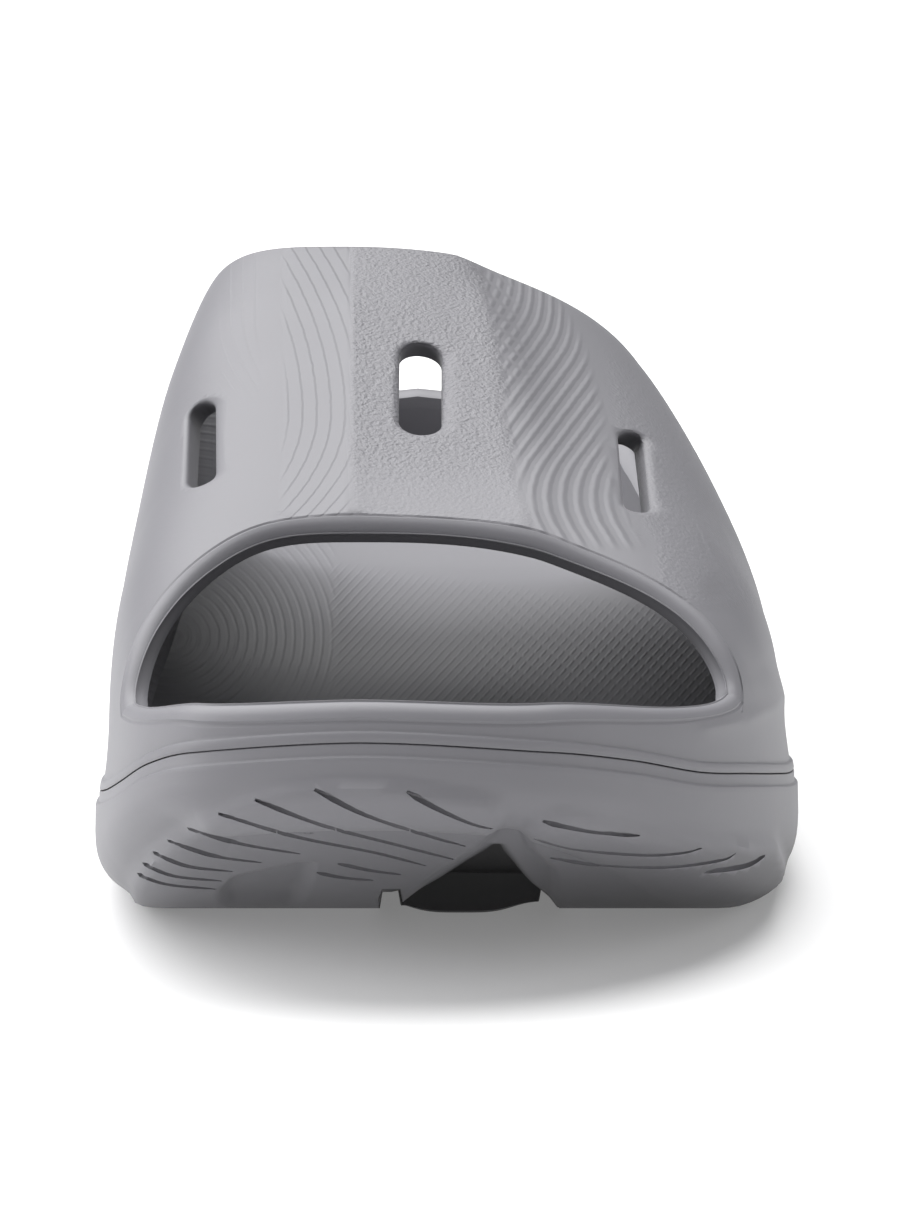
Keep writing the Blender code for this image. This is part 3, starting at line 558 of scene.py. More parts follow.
def inside_path(places, path):
    """Whether each place lies inside a closed path."""
    path = np.array(path, float)
    inside = np.zeros(len(places), bool)
    for a, b in zip(path, np.roll(path, -1, 0)):
        spans = (a[1] > places[:, 1]) != (b[1] > places[:, 1])
        rise = b[1] - a[1] if b[1] != a[1] else 1e-9
        inside ^= spans & (places[:, 0] < a[0] + (places[:, 1] - a[1]) * (b[0] - a[0]) / rise)
    return inside


def ramp(value, low, high):
    """0 below low and 1 above high, with a soft rise between."""
    t = np.clip((value - low) / (high - low), 0, 1)
    return t * t * (3 - 2 * t)


def band(value, low, rise, fall, high):
    """1 between rise and fall, with soft ends down to 0 at low and high."""
    return ramp(value, low, rise) * (1 - ramp(value, fall, high))


def raised(plan, height):
    """Places over a plan, each at its own height."""
    return np.concatenate([plan, height[..., None]], -1)


def unit(vectors):
    return vectors / np.maximum(np.linalg.norm(vectors, axis=-1, keepdims=True), 1e-12)


def outer_wall(side):
    """Rows from the seam, over its proud lip, up to the free edge."""
    form = SIDES[side]

    def angle(height):
        return form.angle_at(SEAM_SPOTS, seam(side, SEAM_SPOTS) + height * LIP_HEIGHT)

    lip = np.stack([form.point(SEAM_SPOTS, angle(height), out * LIP_OUT) for height, out in LIP_PROFILE], 1)
    lip[:, 0, 2] += GAP
    low, high = angle(LIP_PROFILE[-1][0] + 0.25)[:, None], edge_angles(side)[:, None]
    wall = column_grid(side, low, high, row_shares(WALL_STRIPS, 0.55, 0.75), 0)
    return np.concatenate([lip, wall], 1)


def inner_wall(side):
    """Rows from the free edge down to the footbed, inside the outer form."""
    high = edge_angles(side)[:, None]
    bed = bed_height(SEAM_SPOTS, side * np.ones_like(SEAM_SPOTS))
    rise = edge_height(side, EDGE_SPOTS[side]) - bed
    low = SIDES[side].angle_at(SEAM_SPOTS, bed + rise * 0.12)[:, None]
    return column_grid(side, low, high, row_shares(INNER_STRIPS, 0.5, 0.5), 1)[:, ::-1]


def edge_outward(outer_edge, inner_edge, below):
    """Direction out of the wall, square to its free edge and to its depth."""
    out = unit(np.cross(np.gradient(outer_edge, axis=0), outer_edge - inner_edge))
    return out * np.sign(((outer_edge - below) * out).sum())


def bead(outer_edge, inner_edge, outward):
    """The free edge: a roll that turns over to a crisp lip and a short cut face."""
    wall = inner_edge - outer_edge
    reach = np.linalg.norm(wall, axis=-1, keepdims=True) / 2
    return np.stack([outer_edge + wall * across + outward * reach * out for across, out in BEAD_PROFILE], 1)


def ring(medial, lateral):
    """Joins the rows of both sides into one closed ring."""
    return np.concatenate([medial, lateral[-2:0:-1]], 0)


def inset_outline(side, inset):
    """The seam's outline in plan, moved in by a distance, at each strip's foot."""
    none = np.zeros_like(SEAM_SPOTS)
    foot = SIDES[side].point(SEAM_SPOTS, none)
    away = SIDES[side].normal(SEAM_SPOTS, none + 1, none)
    away[:, 2] = 0
    return foot[:, :2] - unit(away)[:, :2] * np.asarray(inset)[..., None]


def back_share(plan):
    return np.clip(plan[..., 1] / LENGTH + 0.5, 0, 1)


def nest_rings(side, lift):
    """Rings where the mouldings nest: a ledge at the seam, then a slope to the joint."""
    edge = seam(side, SEAM_SPOTS)
    rings = []
    for inset, share in ((0, 0), (LEDGE_WIDTH, 0), (LEDGE_WIDTH + NEST_SLOPE, 1)):
        plan = inset_outline(side, inset)
        rings.append(raised(plan, edge + (joint_height(back_share(plan)) - edge) * share + lift))
    return np.stack(rings, 1)


def rungs(medial_ends, lateral_ends, strips, height):
    """Points across the shoe between both sides, at the height of a function."""
    t = np.linspace(0, 1, strips + 1)[None, :, None]
    plan = medial_ends[:, None, :2] * (1 - t) + lateral_ends[:, None, :2] * t
    across = np.broadcast_to(2 * t[..., 0] - 1, plan.shape[:2])
    level = height(back_share(plan), across)
    level[:, 0], level[:, -1] = medial_ends[:, 2], lateral_ends[:, 2]
    return raised(plan, level)


def store(mesh, name, values):
    """Keeps a number per vertex under a name that the materials read."""
    mesh.attributes.new(name, "FLOAT", "POINT").data.foreach_set("value", values)


class Shell:
    """Collects grids of points and closes them into one mesh; skin tells the grids apart."""

    def __init__(self):
        self.points, self.faces, self.skins, self.count = [], [], [], 0

    def grid(self, points, closed=False, skin=0.0):
        rows, columns = points.shape[:2]
        i, j = np.meshgrid(np.arange(rows if closed else rows - 1), np.arange(columns - 1), indexing="ij")
        a, b = self.count + i * columns + j, self.count + (i + 1) % rows * columns + j
        self.faces.append(np.stack([a, b, b + 1, a + 1], -1).reshape(-1, 4))
        self.points.append(points.reshape(-1, 3))
        self.skins.append(np.broadcast_to(skin, (rows, columns)).ravel())
        self.count += rows * columns

    def mesh(self, name):
        mesh = bpy.data.meshes.new(name)
        mesh.from_pydata(np.concatenate(self.points).tolist(), [], np.concatenate(self.faces).tolist())
        store(mesh, "skin", np.concatenate(self.skins))
        work = bmesh.new()
        work.from_mesh(mesh)
        bmesh.ops.remove_doubles(work, verts=work.verts, dist=2e-5)
        bmesh.ops.dissolve_degenerate(work, edges=work.edges, dist=1e-6)
        bmesh.ops.recalc_face_normals(work, faces=work.faces)
        work.to_mesh(mesh)
        work.free()
        return mesh


def add_nest(shell, sides, lift):
    """The face where the mouldings nest, from the first ring of each side."""
    nest = {s: nest_rings(s, lift) for s in SIDES}
    for s in SIDES:
        shell.grid(np.stack([sides[s][:, 0], nest[s][:, 0]], 1), skin=4)
        shell.grid(nest[s], skin=4)
    ends = nest[MEDIAL][:, -1], nest[LATERAL][:, -1]
    shell.grid(rungs(*ends, NEST_STRIPS, lambda b, a: joint_height(b) + lift), skin=4)


def upper_mesh():
    """Strap, rim and footbed in one closed shell."""
    shell = Shell()
    outer = {s: outer_wall(s) for s in SIDES}
    inner = {s: inner_wall(s) for s in SIDES}
    shell.grid(ring(outer[MEDIAL], outer[LATERAL]), closed=True)
    shell.grid(ring(inner[MEDIAL], inner[LATERAL]), closed=True, skin=2)
    for part in (slice(FRONT_TOP + 1), slice(BACK_TOP, None)):
        outward = {s: edge_outward(outer[s][part, -1], inner[s][part, 0], outer[s][part, -2]) for s in SIDES}
        for end in (0, -1):
            outward[MEDIAL][end] = outward[LATERAL][end] = unit(outward[MEDIAL][end] + outward[LATERAL][end])
        for s in SIDES:
            shell.grid(bead(outer[s][part, -1], inner[s][part, 0], outward[s]), skin=BEAD_SKIN)
    bed_rim = {}
    for s in SIDES:
        last = inner[s][:, -1]
        plan = last[:, :2] - unit(last[:, :2] - spine(last)) * BED_INSET
        bed_rim[s] = raised(plan, bed_height(back_share(plan), s * np.ones(len(plan))))
        shell.grid(np.stack([last, bed_rim[s]], 1), skin=3)
    shell.grid(rungs(bed_rim[MEDIAL], bed_rim[LATERAL], BED_STRIPS, bed_height), skin=3)
    add_nest(shell, outer, GAP)
    return shell.mesh("upper")


def spine(points):
    """The nearest spot on the shoe's long spine, kept clear of both tips."""
    reach = 0.3 * BALL_WIDTH
    y = np.clip(points[:, 1], -LENGTH / 2 + reach, LENGTH / 2 - reach)
    return np.stack([ridge_line(y / LENGTH + 0.5) * 0.5, y], 1)


def sole_side(side):
    """Rows down the sole's side: band, ridge and rounded edge."""
    top = seam(side, SEAM_SPOTS)
    rows = [(-LIP_OUT * out, top - down * BAND_HEIGHT) for down, out in BAND_PROFILE]
    start, low = rows[-1]
    floor = ground(back_share(inset_outline(side, EDGE_INSET - SEAM_INSET)))
    ridge = floor + RIDGE_SHARE * (top - floor)
    for t in np.linspace(0, 1, 6)[1:]:
        rows.append((start - (SEAM_INSET + start) * t, low + (ridge - low) * t))
    power = 2 / section("corner", SEAM_SPOTS)
    for angle in np.linspace(0, math.pi / 2, SIDE_STRIPS + 2)[1:]:
        inset = EDGE_INSET * (1 - np.cos(angle) ** power) - SEAM_INSET
        rows.append((inset, ridge - (ridge - floor) * np.sin(angle) ** power))
    return np.stack([raised(inset_outline(side, inset), height) for inset, height in rows], 1)


def tread_height(back, across):
    """Underside of the sole, lower at the forefoot's middle pad."""
    right, left = half_width(LATERAL, back), half_width(MEDIAL, back)
    x = (across * (right + left) + right - left) / 2
    near = np.exp(-(((x / BALL_WIDTH - PAD_MIDDLE_SHARE) / PAD_WIDTH_SHARE) ** 4))
    along = np.clip(np.minimum(back - PAD_START, PAD_END - back) / PAD_EASE, 0, 1)
    return np.maximum(ground(back) - PAD_DROP * near * along, np.minimum(ground(back), 0))


def sole_mesh():
    """The lower moulding, from the ground to the nesting face."""
    shell = Shell()
    sides = {s: sole_side(s) for s in SIDES}
    shell.grid(ring(sides[MEDIAL], sides[LATERAL]), closed=True)
    shell.grid(rungs(sides[MEDIAL][:, -1], sides[LATERAL][:, -1], TREAD_STRIPS, tread_height))
    add_nest(shell, sides, 0)
    return shell.mesh("sole")


def read_mesh(mesh):
    """Places, normals and skins of a mesh's vertices."""
    count = len(mesh.vertices)
    places, normals, skins = np.zeros((count, 3)), np.zeros((count, 3)), np.zeros(count)
    mesh.vertices.foreach_get("co", places.ravel())
    mesh.vertex_normals.foreach_get("vector", normals.ravel())
    mesh.attributes["skin"].data.foreach_get("value", skins)
    return places, normals, skins


def push(mesh, relief):
    """Moves vertices along their normals by the relief, and none below the ground."""
    places, normals, _ = read_mesh(mesh)
    moved = places + normals * relief[:, None]
    moved[:, 2] = np.maximum(moved[:, 2], np.minimum(places[:, 2], 0))
    mesh.vertices.foreach_set("co", moved.ravel())
    mesh.update()


def from_toe(places):
    return places[:, 1] + LENGTH / 2


def channel_inside(name, places):
    """How far inside a channel's plan each place lies, from its sides and its front end."""
    rows = CHANNELS[name]
    back = back_share(places)
    look = smooth_table(rows, CHANNEL_COLUMNS)
    left, right = look("left", back) * BALL_WIDTH, look("right", back) * BALL_WIDTH
    inside = np.minimum(places[:, 0] - left, right - places[:, 0])
    return np.minimum(inside, (back - rows[0][0]) * LENGTH)


def upper_relief(mesh):
    """Height of the folds and troughs on the strap's outer skin."""
    places, _, skins = read_mesh(mesh)
    view = front_view(places)
    relief = 0
    for height, width, sharp, path in CREASES.values():
        relief += height * MM * np.exp(-((path_distance(view, path) / width) ** sharp))
    strap = (1 - ramp(from_toe(places), 0.170, 0.185)) * (1 - ramp(view[:, 1], 47, 54))
    return relief * strap * np.clip(1 - skins, 0, 1)


def sole_relief(mesh):
    """Height of the tread lobes, less the shallow side channel."""
    places, normals, skins = read_mesh(mesh)
    view = front_view(places)
    relief = 0
    facing = ramp(-normals[:, 2], -0.35, 0.1) * (1 - ramp(from_toe(places), 0.09, 0.115))
    for path in LOBES.values():
        far = path_distance(view, path, closed=True)
        far = np.where(inside_path(view, path), far, -far)
        relief = np.maximum(relief, LOBE_HEIGHT * ramp(far, -LOBE_EDGE, LOBE_EDGE))
    back = back_share(places)
    rows = CHANNELS["side"]
    start, end = rows[0][0], rows[-1][0]
    inside = np.minimum(channel_inside("side", places), (end - back) * LENGTH)
    depth = smooth_table(rows, CHANNEL_COLUMNS)("depth", np.clip(back, start + 0.02, end))
    dip = CHANNEL_DEPTH * depth * ramp(inside, -0.0010, 0.0016) * ramp(places[:, 2], 0.003, 0.009)
    return (relief * facing - dip * ramp(-normals[:, 2], 0, 0.3)) * (skins < 0.5)


def collection(name):
    made = bpy.data.collections.new(name)
    bpy.context.scene.collection.children.link(made)
    return made


def place(name, data, into):
    made = bpy.data.objects.new(name, data)
    into.objects.link(made)
    return made


def tree_of(mesh):
    return BVHTree.FromPolygons([v.co for v in mesh.vertices], [tuple(p.vertices) for p in mesh.polygons])


def loop_solid(name, loops, into):
    """A closed solid through loops of points, with flat ends."""
    work = bmesh.new()
    rows = [[work.verts.new(tuple(p)) for p in loop] for loop in loops]
    work.faces.new(rows[0])
    work.faces.new(rows[-1])
    for low, high in zip(rows, rows[1:]):
        for i in range(len(low)):
            j = (i + 1) % len(low)
            work.faces.new((low[i], low[j], high[j], high[i]))
    bmesh.ops.recalc_face_normals(work, faces=work.faces)
    mesh = bpy.data.meshes.new(name)
    work.to_mesh(mesh)
    work.free()
    return place(name, mesh, into)


def channel_cutter(name, rows, into):
    """A trough that follows the underside, narrower at its bottom by the draft."""
    look = smooth_table(rows, CHANNEL_COLUMNS)
    spots = np.linspace(rows[0][0], rows[-1][0], 70)
    left, right = look("left", spots) * BALL_WIDTH, look("right", spots) * BALL_WIDTH
    y = (spots - 0.5) * LENGTH
    low = ground(np.clip(spots, 0, 1))
    deep, below = low + CHANNEL_DEPTH * look("depth", spots), low - 0.01
    draft = np.minimum(CHANNEL_DRAFT, (right - left) * 0.3)
    corners = [(left - draft, below), (left + draft, deep), (right - draft, deep), (right + draft, below)]
    return loop_solid(name, np.stack([np.stack([x, y, z], -1) for x, z in corners], 1), into)


def slot_cutter(name, row, tree, into):
    """A round-ended bar through the strap, flared to round the edges of both skins."""
    back, across, lean, width, skew, length = row
    form = SIDES[MEDIAL if across < float(section("ridge", back)) else LATERAL]
    side_power, crown_power = form.powers(back)
    share = np.clip(abs(across * BALL_WIDTH - ridge_line(back)) / form.half(back), 0, 1)
    angle = np.arccos(share ** (side_power / 2))
    u, v = np.cos(angle) ** (2 / side_power), np.sin(angle) ** (2 / crown_power)
    spot, out = form.point(back, angle), form.normal(back, u, v)
    straight_run = unit(np.cross(out, [1, 0, 0]))
    straight_wide = np.cross(straight_run, out)
    turn = math.radians(lean)
    run = straight_run * math.cos(turn) + straight_wide * math.sin(turn)
    wide = straight_wide * math.cos(turn) - straight_run * math.sin(turn) + run * skew
    radius = SLOT_WIDTH * width / 2
    cap = radius * SLOT_END
    straight = SLOT_LENGTH * length / 2 - cap
    turns = np.linspace(0, 2 * math.pi, SLOT_TURNS, endpoint=False) + math.pi / SLOT_TURNS
    pull = unit(out + np.array([0, -SLOT_PULL, 0]))
    pull = pull / (pull @ out)
    wall = float(wall_depth(back))

    def rim(flare):
        sides = [flare * (1 + SLOT_LATERAL_ROUND * max(0, math.sin(t))) for t in turns]
        return [
            run * (math.copysign(straight, math.cos(t)) + (cap + flare) * math.cos(t))
            + wide * (radius + side) * math.sin(t)
            for t, side in zip(turns, sides)
        ]

    def steps(radius, *clear):
        """Depth and flare of each loop: those clear of the skin, then the round of the edge."""
        brim = radius * 0.66 + SLOT_CLEAR
        bends = [math.radians(a) for a in SLOT_BENDS]
        rounds = [(radius * (1 - math.sin(b)), radius * (1 - math.cos(b))) for b in bends]
        return [(depth, brim) for depth in clear] + rounds

    loops = []
    for depth, flare in steps(SLOT_ROUND_OUT, -0.005, -0.0005):
        loops.append([skin_point(tree, spot + p, out, True) - pull * depth for p in rim(flare)])
    for depth, flare in reversed(steps(SLOT_ROUND_IN, -0.0005)):
        start = spot - pull * wall
        loops.append([skin_point(tree, start + p, out, False) + pull * depth for p in rim(flare)])
    return loop_solid(name, loops, into)


def skin_point(tree, point, out, outer):
    """Where a line along out crosses the strap's outer or inner skin."""
    start = point + out * (0.012 if outer else -WALL * 1.6)
    hit = tree.ray_cast(Vector(start), Vector(-out if outer else out), 0.03)[0]
    return np.array(hit) if hit is not None else point


def view_ray(spot):
    """Direction from the camera to a place in the front view."""
    return unit(FORWARD + UPWARD * spot[1] / 1000 + np.array([spot[0] / 1000, 0, 0]))


def smooth_path(path, count):
    """Points along a smooth curve through a path."""
    path = np.array(path, float)
    steps = np.concatenate([[0], np.cumsum(np.linalg.norm(np.diff(path, axis=0), axis=1))])
    padded = np.concatenate([[2 * path[0] - path[1]], path, [2 * path[-1] - path[-2]]])
    at = np.linspace(0, steps[-1], count)
    i = np.minimum(np.searchsorted(steps, at, side="right") - 1, len(path) - 2)
    t = ((at - steps[i]) / (steps[i + 1] - steps[i]))[:, None]
    a, b, c, d = (padded[i + k] for k in range(4))
    bend = (2 * a - 5 * b + 4 * c - d) * t**2 + (3 * b - a - 3 * c + d) * t**3
    return 0.5 * (2 * b + (c - a) * t + bend)


def groove_cutter(name, path, tree, into):
    """A thin bar along a path on the sole, thicker where the front view meets the skin at a slant."""
    rays = [Vector(view_ray(spot)) for spot in smooth_path(path, GROOVE_STEPS)]
    hits = [tree.ray_cast(Vector(CAMERA_PLACE), ray, 2.0) for ray in rays]
    spots, normals = np.array([hit[:2] for hit in hits if hit[0] is not None]).transpose(1, 0, 2)
    for _ in range(GROOVE_ROUNDS):
        normals[1:-1] = unit(normals[:-2] + 2 * normals[1:-1] + normals[2:])
    centres = spots - normals * GROOVE_RADIUS * GROOVE_SINK
    runs = unit(np.gradient(centres, axis=0))
    loops = []
    for i, (centre, run, normal) in enumerate(zip(centres, runs, normals)):
        across = unit(np.cross(run, normal))
        lift = np.cross(across, run)
        end = min(i, len(centres) - 1 - i) / (GROOVE_STEPS * GROOVE_TAPER)
        glance = abs(float(normal @ unit(centre - CAMERA_PLACE)))
        size = GROOVE_RADIUS * (0.45 + 0.55 * min(1, end)) * (1.15 - 0.45 * i / len(centres))
        size = size * min(max(0.40 / glance, 0.9), 1.5)
        turns = np.linspace(0, 2 * math.pi, GROOVE_SIDES, endpoint=False)
        spokes = [across * math.cos(t) + lift * math.sin(t) * GROOVE_DEEP for t in turns]
        loops.append([centre + spoke * size for spoke in spokes])
    return loop_solid(name, loops, into)


def cut(target, cutters):
    """Cuts a collection of solids out of a piece and keeps the result as its mesh."""
    modifier = target.modifiers.new("cut", "BOOLEAN")
    modifier.operation = "DIFFERENCE"
    modifier.solver = "MANIFOLD"
    modifier.operand_type = "COLLECTION"
    modifier.collection = cutters
    bpy.context.view_layer.update()
    made = bpy.data.meshes.new_from_object(target.evaluated_get(bpy.context.evaluated_depsgraph_get()))
    made.validate()
    target.modifiers.clear()
    target.data = made
    for cutter in list(cutters.objects):
        bpy.data.objects.remove(cutter)
    bpy.data.collections.remove(cutters)


def at_height(path, height):
    """How far right a path lies at a height in the front view."""
    table = np.array(sorted((v, u) for u, v in path))
    return np.interp(height, table[:, 0], table[:, 1])


def soft_max(a, b, width):
    return np.maximum(a, b) + width * np.log1p(np.exp(-np.abs(a - b) / width))


def add_patterns(mesh):
    """Phases and strengths of the upper's moulded lines, placed by front-view millimetres, and the shade
    painted into the colour of the front edge's cut face.
    """
    places, normals, skins = read_mesh(mesh)
    right, up = front_view(places).T
    strap = (skins < 0.01) * (1 - ramp(from_toe(places), 0.172, 0.180)) * ramp(up, 0, 2)
    strap = strap * ramp(normals[:, 2], -0.2, 0)

    rise = up - 31.8
    terraces = (right + np.where(rise > 0, 0.0125, 0.031) * rise**2) / PITCH["terraces"]
    weak = (right - 0.0335 * np.clip(46.8 - up, 0, None) ** 2) / PITCH["weak"]
    lines_on = band(right, -28.4, -27.4, -18.0, -17.2)
    lines_on = lines_on + 0.55 * band(right, -38.5, -36.5, -32.6, -31.4) * ramp(up, 33, 37)

    left_edge = at_height(CREASES["right facet"][3], up)
    right_edge = at_height(RIBS_END, up)
    down = soft_max(-up, -47.3 + 0.75 * (right - 12.2), 1.4)
    late = np.clip(down + 24.7, 0, 11)
    down = down - 1.8 / 11 * late**2 / 2 - 1.8 * np.clip(down + 13.7, 0, None)
    ribs = (right + 0.75 * down) / PITCH["ribs"]
    ribs_on = band(right, left_edge + 0.2, left_edge + 1.2, right_edge - 0.5, right_edge + 0.5)
    start, end = 37.0 + 0.34 * (15 - up), 42.6 + 0.17 * (15 - up)
    side = 0.6 * band(right, start - 0.8, start + 0.8, end - 0.8, end + 0.8) * band(up, 0, 3, 13.5, 16.5)
    ribs = np.where(right > start - 1.5, (right + 0.45 * up) / PITCH["side ribs"], ribs)
    ribs_on = ribs_on * ramp(up, 9.5, 12) + side
    broken = ramp(up, 34, 40) * (1 - ramp(right, left_edge + 3.5, left_edge + 7))

    grain = band(right, -17.4, -16.8, left_edge, left_edge + 0.8) * (0.35 + 0.65 * ramp(up, 17, 27))
    grain = grain + 0.4 * ramp(right, right_edge + 1.5, right_edge + 4) * (1 - ramp(up, 37, 47))

    bed = ((skins > 1.5) & (skins < 3.5)).astype(float)
    split = 1 - ramp(right, -20.5, -19.5)
    cut_face = ramp(skins, 0.54, 0.60) * (skins <= 1.0)
    values = {
        "lines": np.where(right < -30.0, weak, terraces),
        "lines_on": strap * lines_on,
        "ribs": ribs,
        "ribs_on": strap * ribs_on,
        "grain_on": strap * grain,
        "arcs": np.hypot(right + 45.8, (up + 3.6) * 1.15) / PITCH["arcs"],
        "arcs_on": bed * split,
        "slants": (up - 1.05 * right) / PITCH["slants"],
        "slants_on": bed * (1 - split) * (1 - ramp(up + 0.13 * right, 3.4, 6.4)),
        "dash": np.where(bed > 0.5, (1.05 * up + right) / 2.6, (up + 0.75 * right) / 2.0),
        "dash_on": np.where(bed > 0.5, 0.85 * ramp(right, -8, 8), broken),
        # painted shade: the cut face under the strap's front edge is darkened in colour, standing in for its
        # shadow
        "painted_shade": 0.62 * cut_face * ramp(places[:, 2], 0.0385, 0.0462) * (places[:, 1] < -0.02),
    }
    for name, data in values.items():
        store(mesh, name, data)


class Nodes:
    """Short names for the shader nodes that the materials use."""

    def __init__(self, material):
        self.tree = material.node_tree

    def set(self, socket, value):
        if isinstance(value, bpy.types.NodeSocket):
            self.tree.links.new(value, socket)
        else:
            socket.default_value = value

    def make(self, kind, **inputs):
        node = self.tree.nodes.new("ShaderNode" + kind)
        for name, value in inputs.items():
            self.set(node.inputs[name.replace("_", " ")], value)
        return node

    def math(self, operation, total, *others):
        """One Math node for each further value, in a chain."""
        for value in others or (0.0,):
            node = self.make("Math")
            node.operation = operation
            self.set(node.inputs[0], total)
            self.set(node.inputs[1], value)
            total = node.outputs[0]
        return total

    def times(self, *values):
        return self.math("MULTIPLY", *values)

    def plus(self, *values):
        return self.math("ADD", *values)

    def minus(self, a, b):
        return self.math("SUBTRACT", a, b)

    def value(self, name):
        node = self.make("Attribute")
        node.attribute_name = name
        return node.outputs["Fac"]

    def noise(self, scale, detail):
        place = self.make("TexCoord").outputs["Object"]
        return self.make("TexNoise", Scale=scale, Detail=detail, Vector=place).outputs["Fac"]

    def line(self, phase, width):
        """1 on each whole number of the phase, falling to 0 over the width."""
        whole = self.math("FRACT", self.plus(phase, 0.5))
        away = self.math("ABSOLUTE", self.minus(whole, 0.5))
        fall = self.make("MapRange", Value=away, From_Min=0.0, From_Max=width)
        fall.interpolation_type = "SMOOTHSTEP"
        return self.minus(1.0, fall.outputs["Result"])

    def terrace(self, phase, drop):
        """A slow rise that falls back sharply at each whole number of the phase."""
        part = self.math("FRACT", phase)
        rise = self.math("DIVIDE", part, 1 - drop)
        return self.math("MINIMUM", rise, self.math("DIVIDE", self.minus(1.0, part), drop))


def shade_tread(mesh):
    """Paints shade into the colour: darker in the tread's middle channel and pad, and towards the bottom of
    the sole, most on its right.
    """
    places, normals, skins = read_mesh(mesh)
    back = back_share(places)
    under = ramp(ground(back) + CHANNEL_DEPTH * 2 - places[:, 2], 0, 0.002) * ramp(-normals[:, 2], -0.9, -0.2)
    # painted shade in the recess of the middle channel and pad, where the underside faces down
    middle = ramp(channel_inside("arrow", places), -0.0008, 0.0006) * under * (back < 0.42)
    # painted shade towards the bottom of the sole, deeper and stronger on the right
    right = ramp(places[:, 0], -0.020, 0.035)
    low = ramp(-places[:, 2], -0.020 - 0.010 * right, -0.002) * ramp(-normals[:, 2], -0.1, 0.4)
    store(mesh, "painted_shade", np.maximum(middle, low * (0.08 + 0.66 * right)) * (skins < 3.5))


def fill(node, **inputs):
    """Sets a node's inputs by their names."""
    for name, value in inputs.items():
        node.inputs[name.replace("_", " ")].default_value = value


def foam(name, patterned):
    """Foam, with shade painted into its colour where a vertex says so, and grain and moulded lines in the
    bump.
    """
    material = bpy.data.materials.new(name)
    material.use_nodes = True
    nodes = Nodes(material)
    shader = material.node_tree.nodes["Principled BSDF"]
    fill(shader, Roughness=FOAM_ROUGHNESS, Specular_IOR_Level=FOAM_SPECULAR, Base_Color=(*FOAM_COLOUR, 1))
    # painted shade: the base colour is darkened where the vertices carry painted shade
    shade = nodes.minus(1.0, nodes.times(nodes.value("painted_shade"), 1 - DARKEST))
    parts = [nodes.times(shade, c) for c in FOAM_COLOUR]
    blend = nodes.make("CombineColor", Red=parts[0], Green=parts[1], Blue=parts[2])
    nodes.set(shader.inputs["Base Color"], blend.outputs["Color"])
    height = nodes.plus(*[nodes.times(nodes.noise(scale, 2.0), share) for scale, share in FINE_GRAIN])
    if patterned:
        grain = nodes.times(nodes.noise(GRAIN_SCALE, 1.5), nodes.value("grain_on"), BUMP["grain"])
        wobble = nodes.times(nodes.minus(nodes.noise(WOBBLE_SCALE, 1.0), 0.5), BUMP["wobble"])
        lines = nodes.terrace(nodes.plus(nodes.value("lines"), wobble), TERRACE_DROP)
        height = nodes.plus(height, grain, nodes.times(lines, nodes.value("lines_on"), BUMP["lines"]))
        gaps = nodes.times(nodes.line(nodes.value("dash"), LINE_WIDTH), nodes.value("dash_on"))
        gaps = nodes.minus(1.0, gaps)
        for which, width in (("ribs", RIB_WIDTH), ("arcs", LINE_WIDTH), ("slants", LINE_WIDTH)):
            mark = nodes.line(nodes.plus(nodes.value(which), wobble), width)
            mark = nodes.times(mark, gaps, nodes.value(which + "_on"), BUMP[which])
            height = nodes.plus(height, mark)
    bump = nodes.make("Bump", Strength=1.0, Distance=0.001, Height=height)
    nodes.set(shader.inputs["Normal"], bump.outputs["Normal"])
    return material


def finish_piece(piece, node, material):
    piece.data.materials.clear()
    piece.data.materials.append(material)
    piece.data.shade_smooth()
    piece.data.set_sharp_from_angle(angle=math.radians(SHARP_DEGREES))
    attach(piece, "root")
    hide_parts(node)


def build_upper(sandal):
    upper = place("upper_foam", upper_mesh(), sandal)
    push(upper.data, upper_relief(upper.data))
    tree = tree_of(upper.data)
    cutters = collection("upper_cutters")
    for i, row in enumerate(SLOTS):
        slot_cutter(f"slot_{i}", row, tree, cutters)
    cut(upper, cutters)
    add_patterns(upper.data)
    finish_piece(upper, "upper", foam("upper_foam", True))


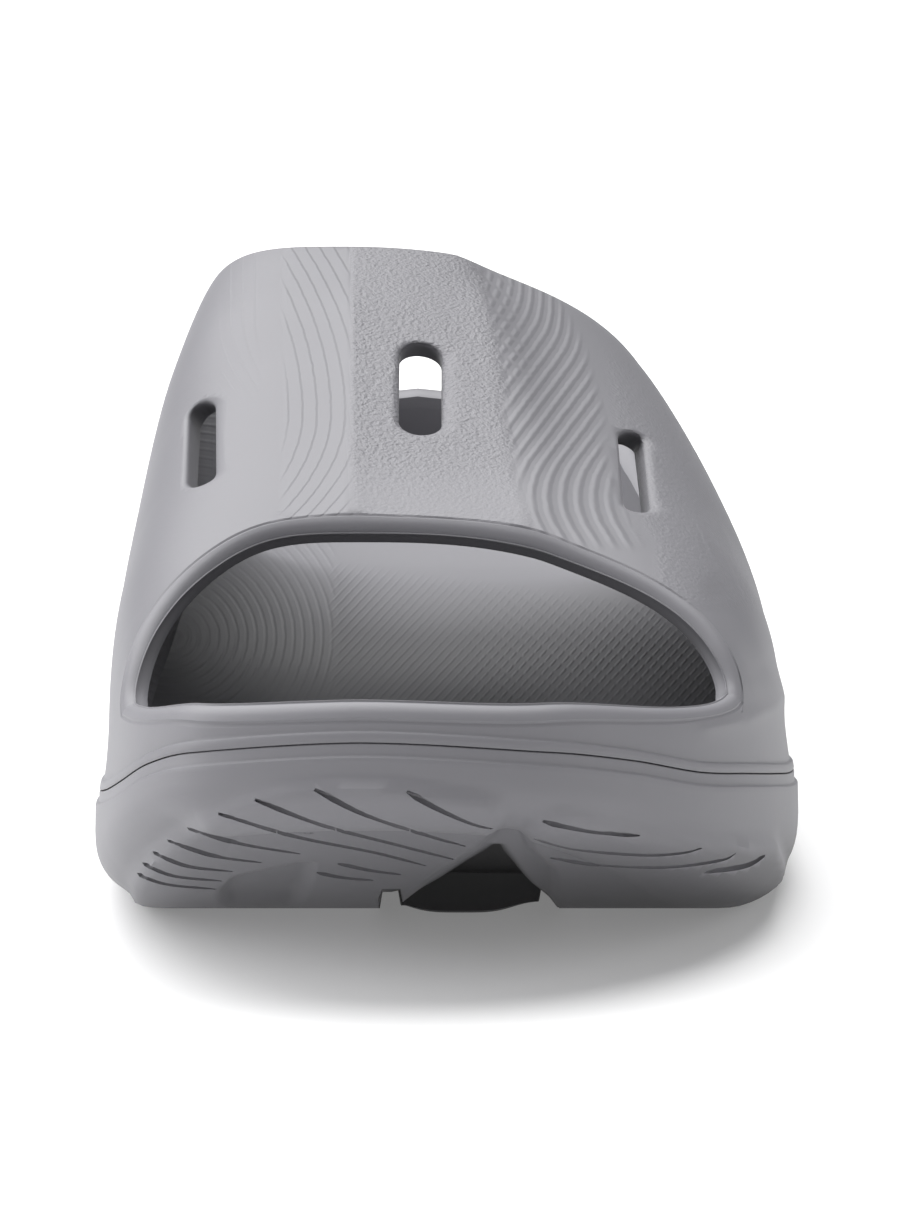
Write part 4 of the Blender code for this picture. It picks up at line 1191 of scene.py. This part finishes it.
def build_sole(sandal):
    sole = place("sole_foam", sole_mesh(), sandal)
    push(sole.data, sole_relief(sole.data))
    tree = tree_of(sole.data)
    cutters = collection("sole_cutters")
    for name, rows in CHANNELS.items():
        if name != "side":
            channel_cutter("channel_" + name, rows, cutters)
    for name, paths in GROOVES.items():
        for path in paths:
            groove_cutter("groove_" + name, path, tree, cutters)
    cut(sole, cutters)
    shade_tread(sole.data)
    finish_piece(sole, "sole", foam("sole_foam", False))


def studio():
    """A plain pale floor and soft light, brightest from the upper left."""
    scene = bpy.context.scene
    mesh = bpy.data.meshes.new("floor")
    r = FLOOR_REACH
    mesh.from_pydata([(-r, -r, 0), (r, -r, 0), (r, r, 0), (-r, r, 0)], [], [(0, 1, 2, 3)])
    floor = place("floor", mesh, scene.collection)
    paper = bpy.data.materials.new("floor_paper")
    paper.use_nodes = True
    shader = paper.node_tree.nodes["Principled BSDF"]
    fill(shader, Base_Color=(FLOOR_GREY, FLOOR_GREY, FLOOR_GREY, 1), Roughness=FLOOR_ROUGHNESS)
    fill(shader, Emission_Color=(1, 1, 1, 1), Emission_Strength=FLOOR_GLOW)
    mesh.materials.append(paper)
    world = bpy.data.worlds.new("studio")
    world.use_nodes = True
    fill(world.node_tree.nodes["Background"], Color=WORLD_COLOUR, Strength=WORLD_STRENGTH)
    scene.world = world
    scene.view_settings.view_transform = "Standard"
    for name, (toward, strength, spread) in SUNS.items():
        light = bpy.data.lights.new(name, "SUN")
        light.energy = strength * math.pi
        light.angle = math.radians(spread)
        sun = place(name, light, scene.collection)
        sun.rotation_euler = Vector(toward).to_track_quat("Z", "Y").to_euler()


def add_camera():
    camera = bpy.data.cameras.new("camera")
    camera.lens = LENS
    camera.clip_end = 50
    made = place("camera", camera, bpy.context.scene.collection)
    made.location = CAMERA_PLACE
    made.rotation_euler = (math.radians(90 - CAMERA_PITCH), 0, 0)
    bpy.context.scene.camera = made


sandal = collection("sport_slide")
build_upper(sandal)
build_sole(sandal)
studio()
add_camera()
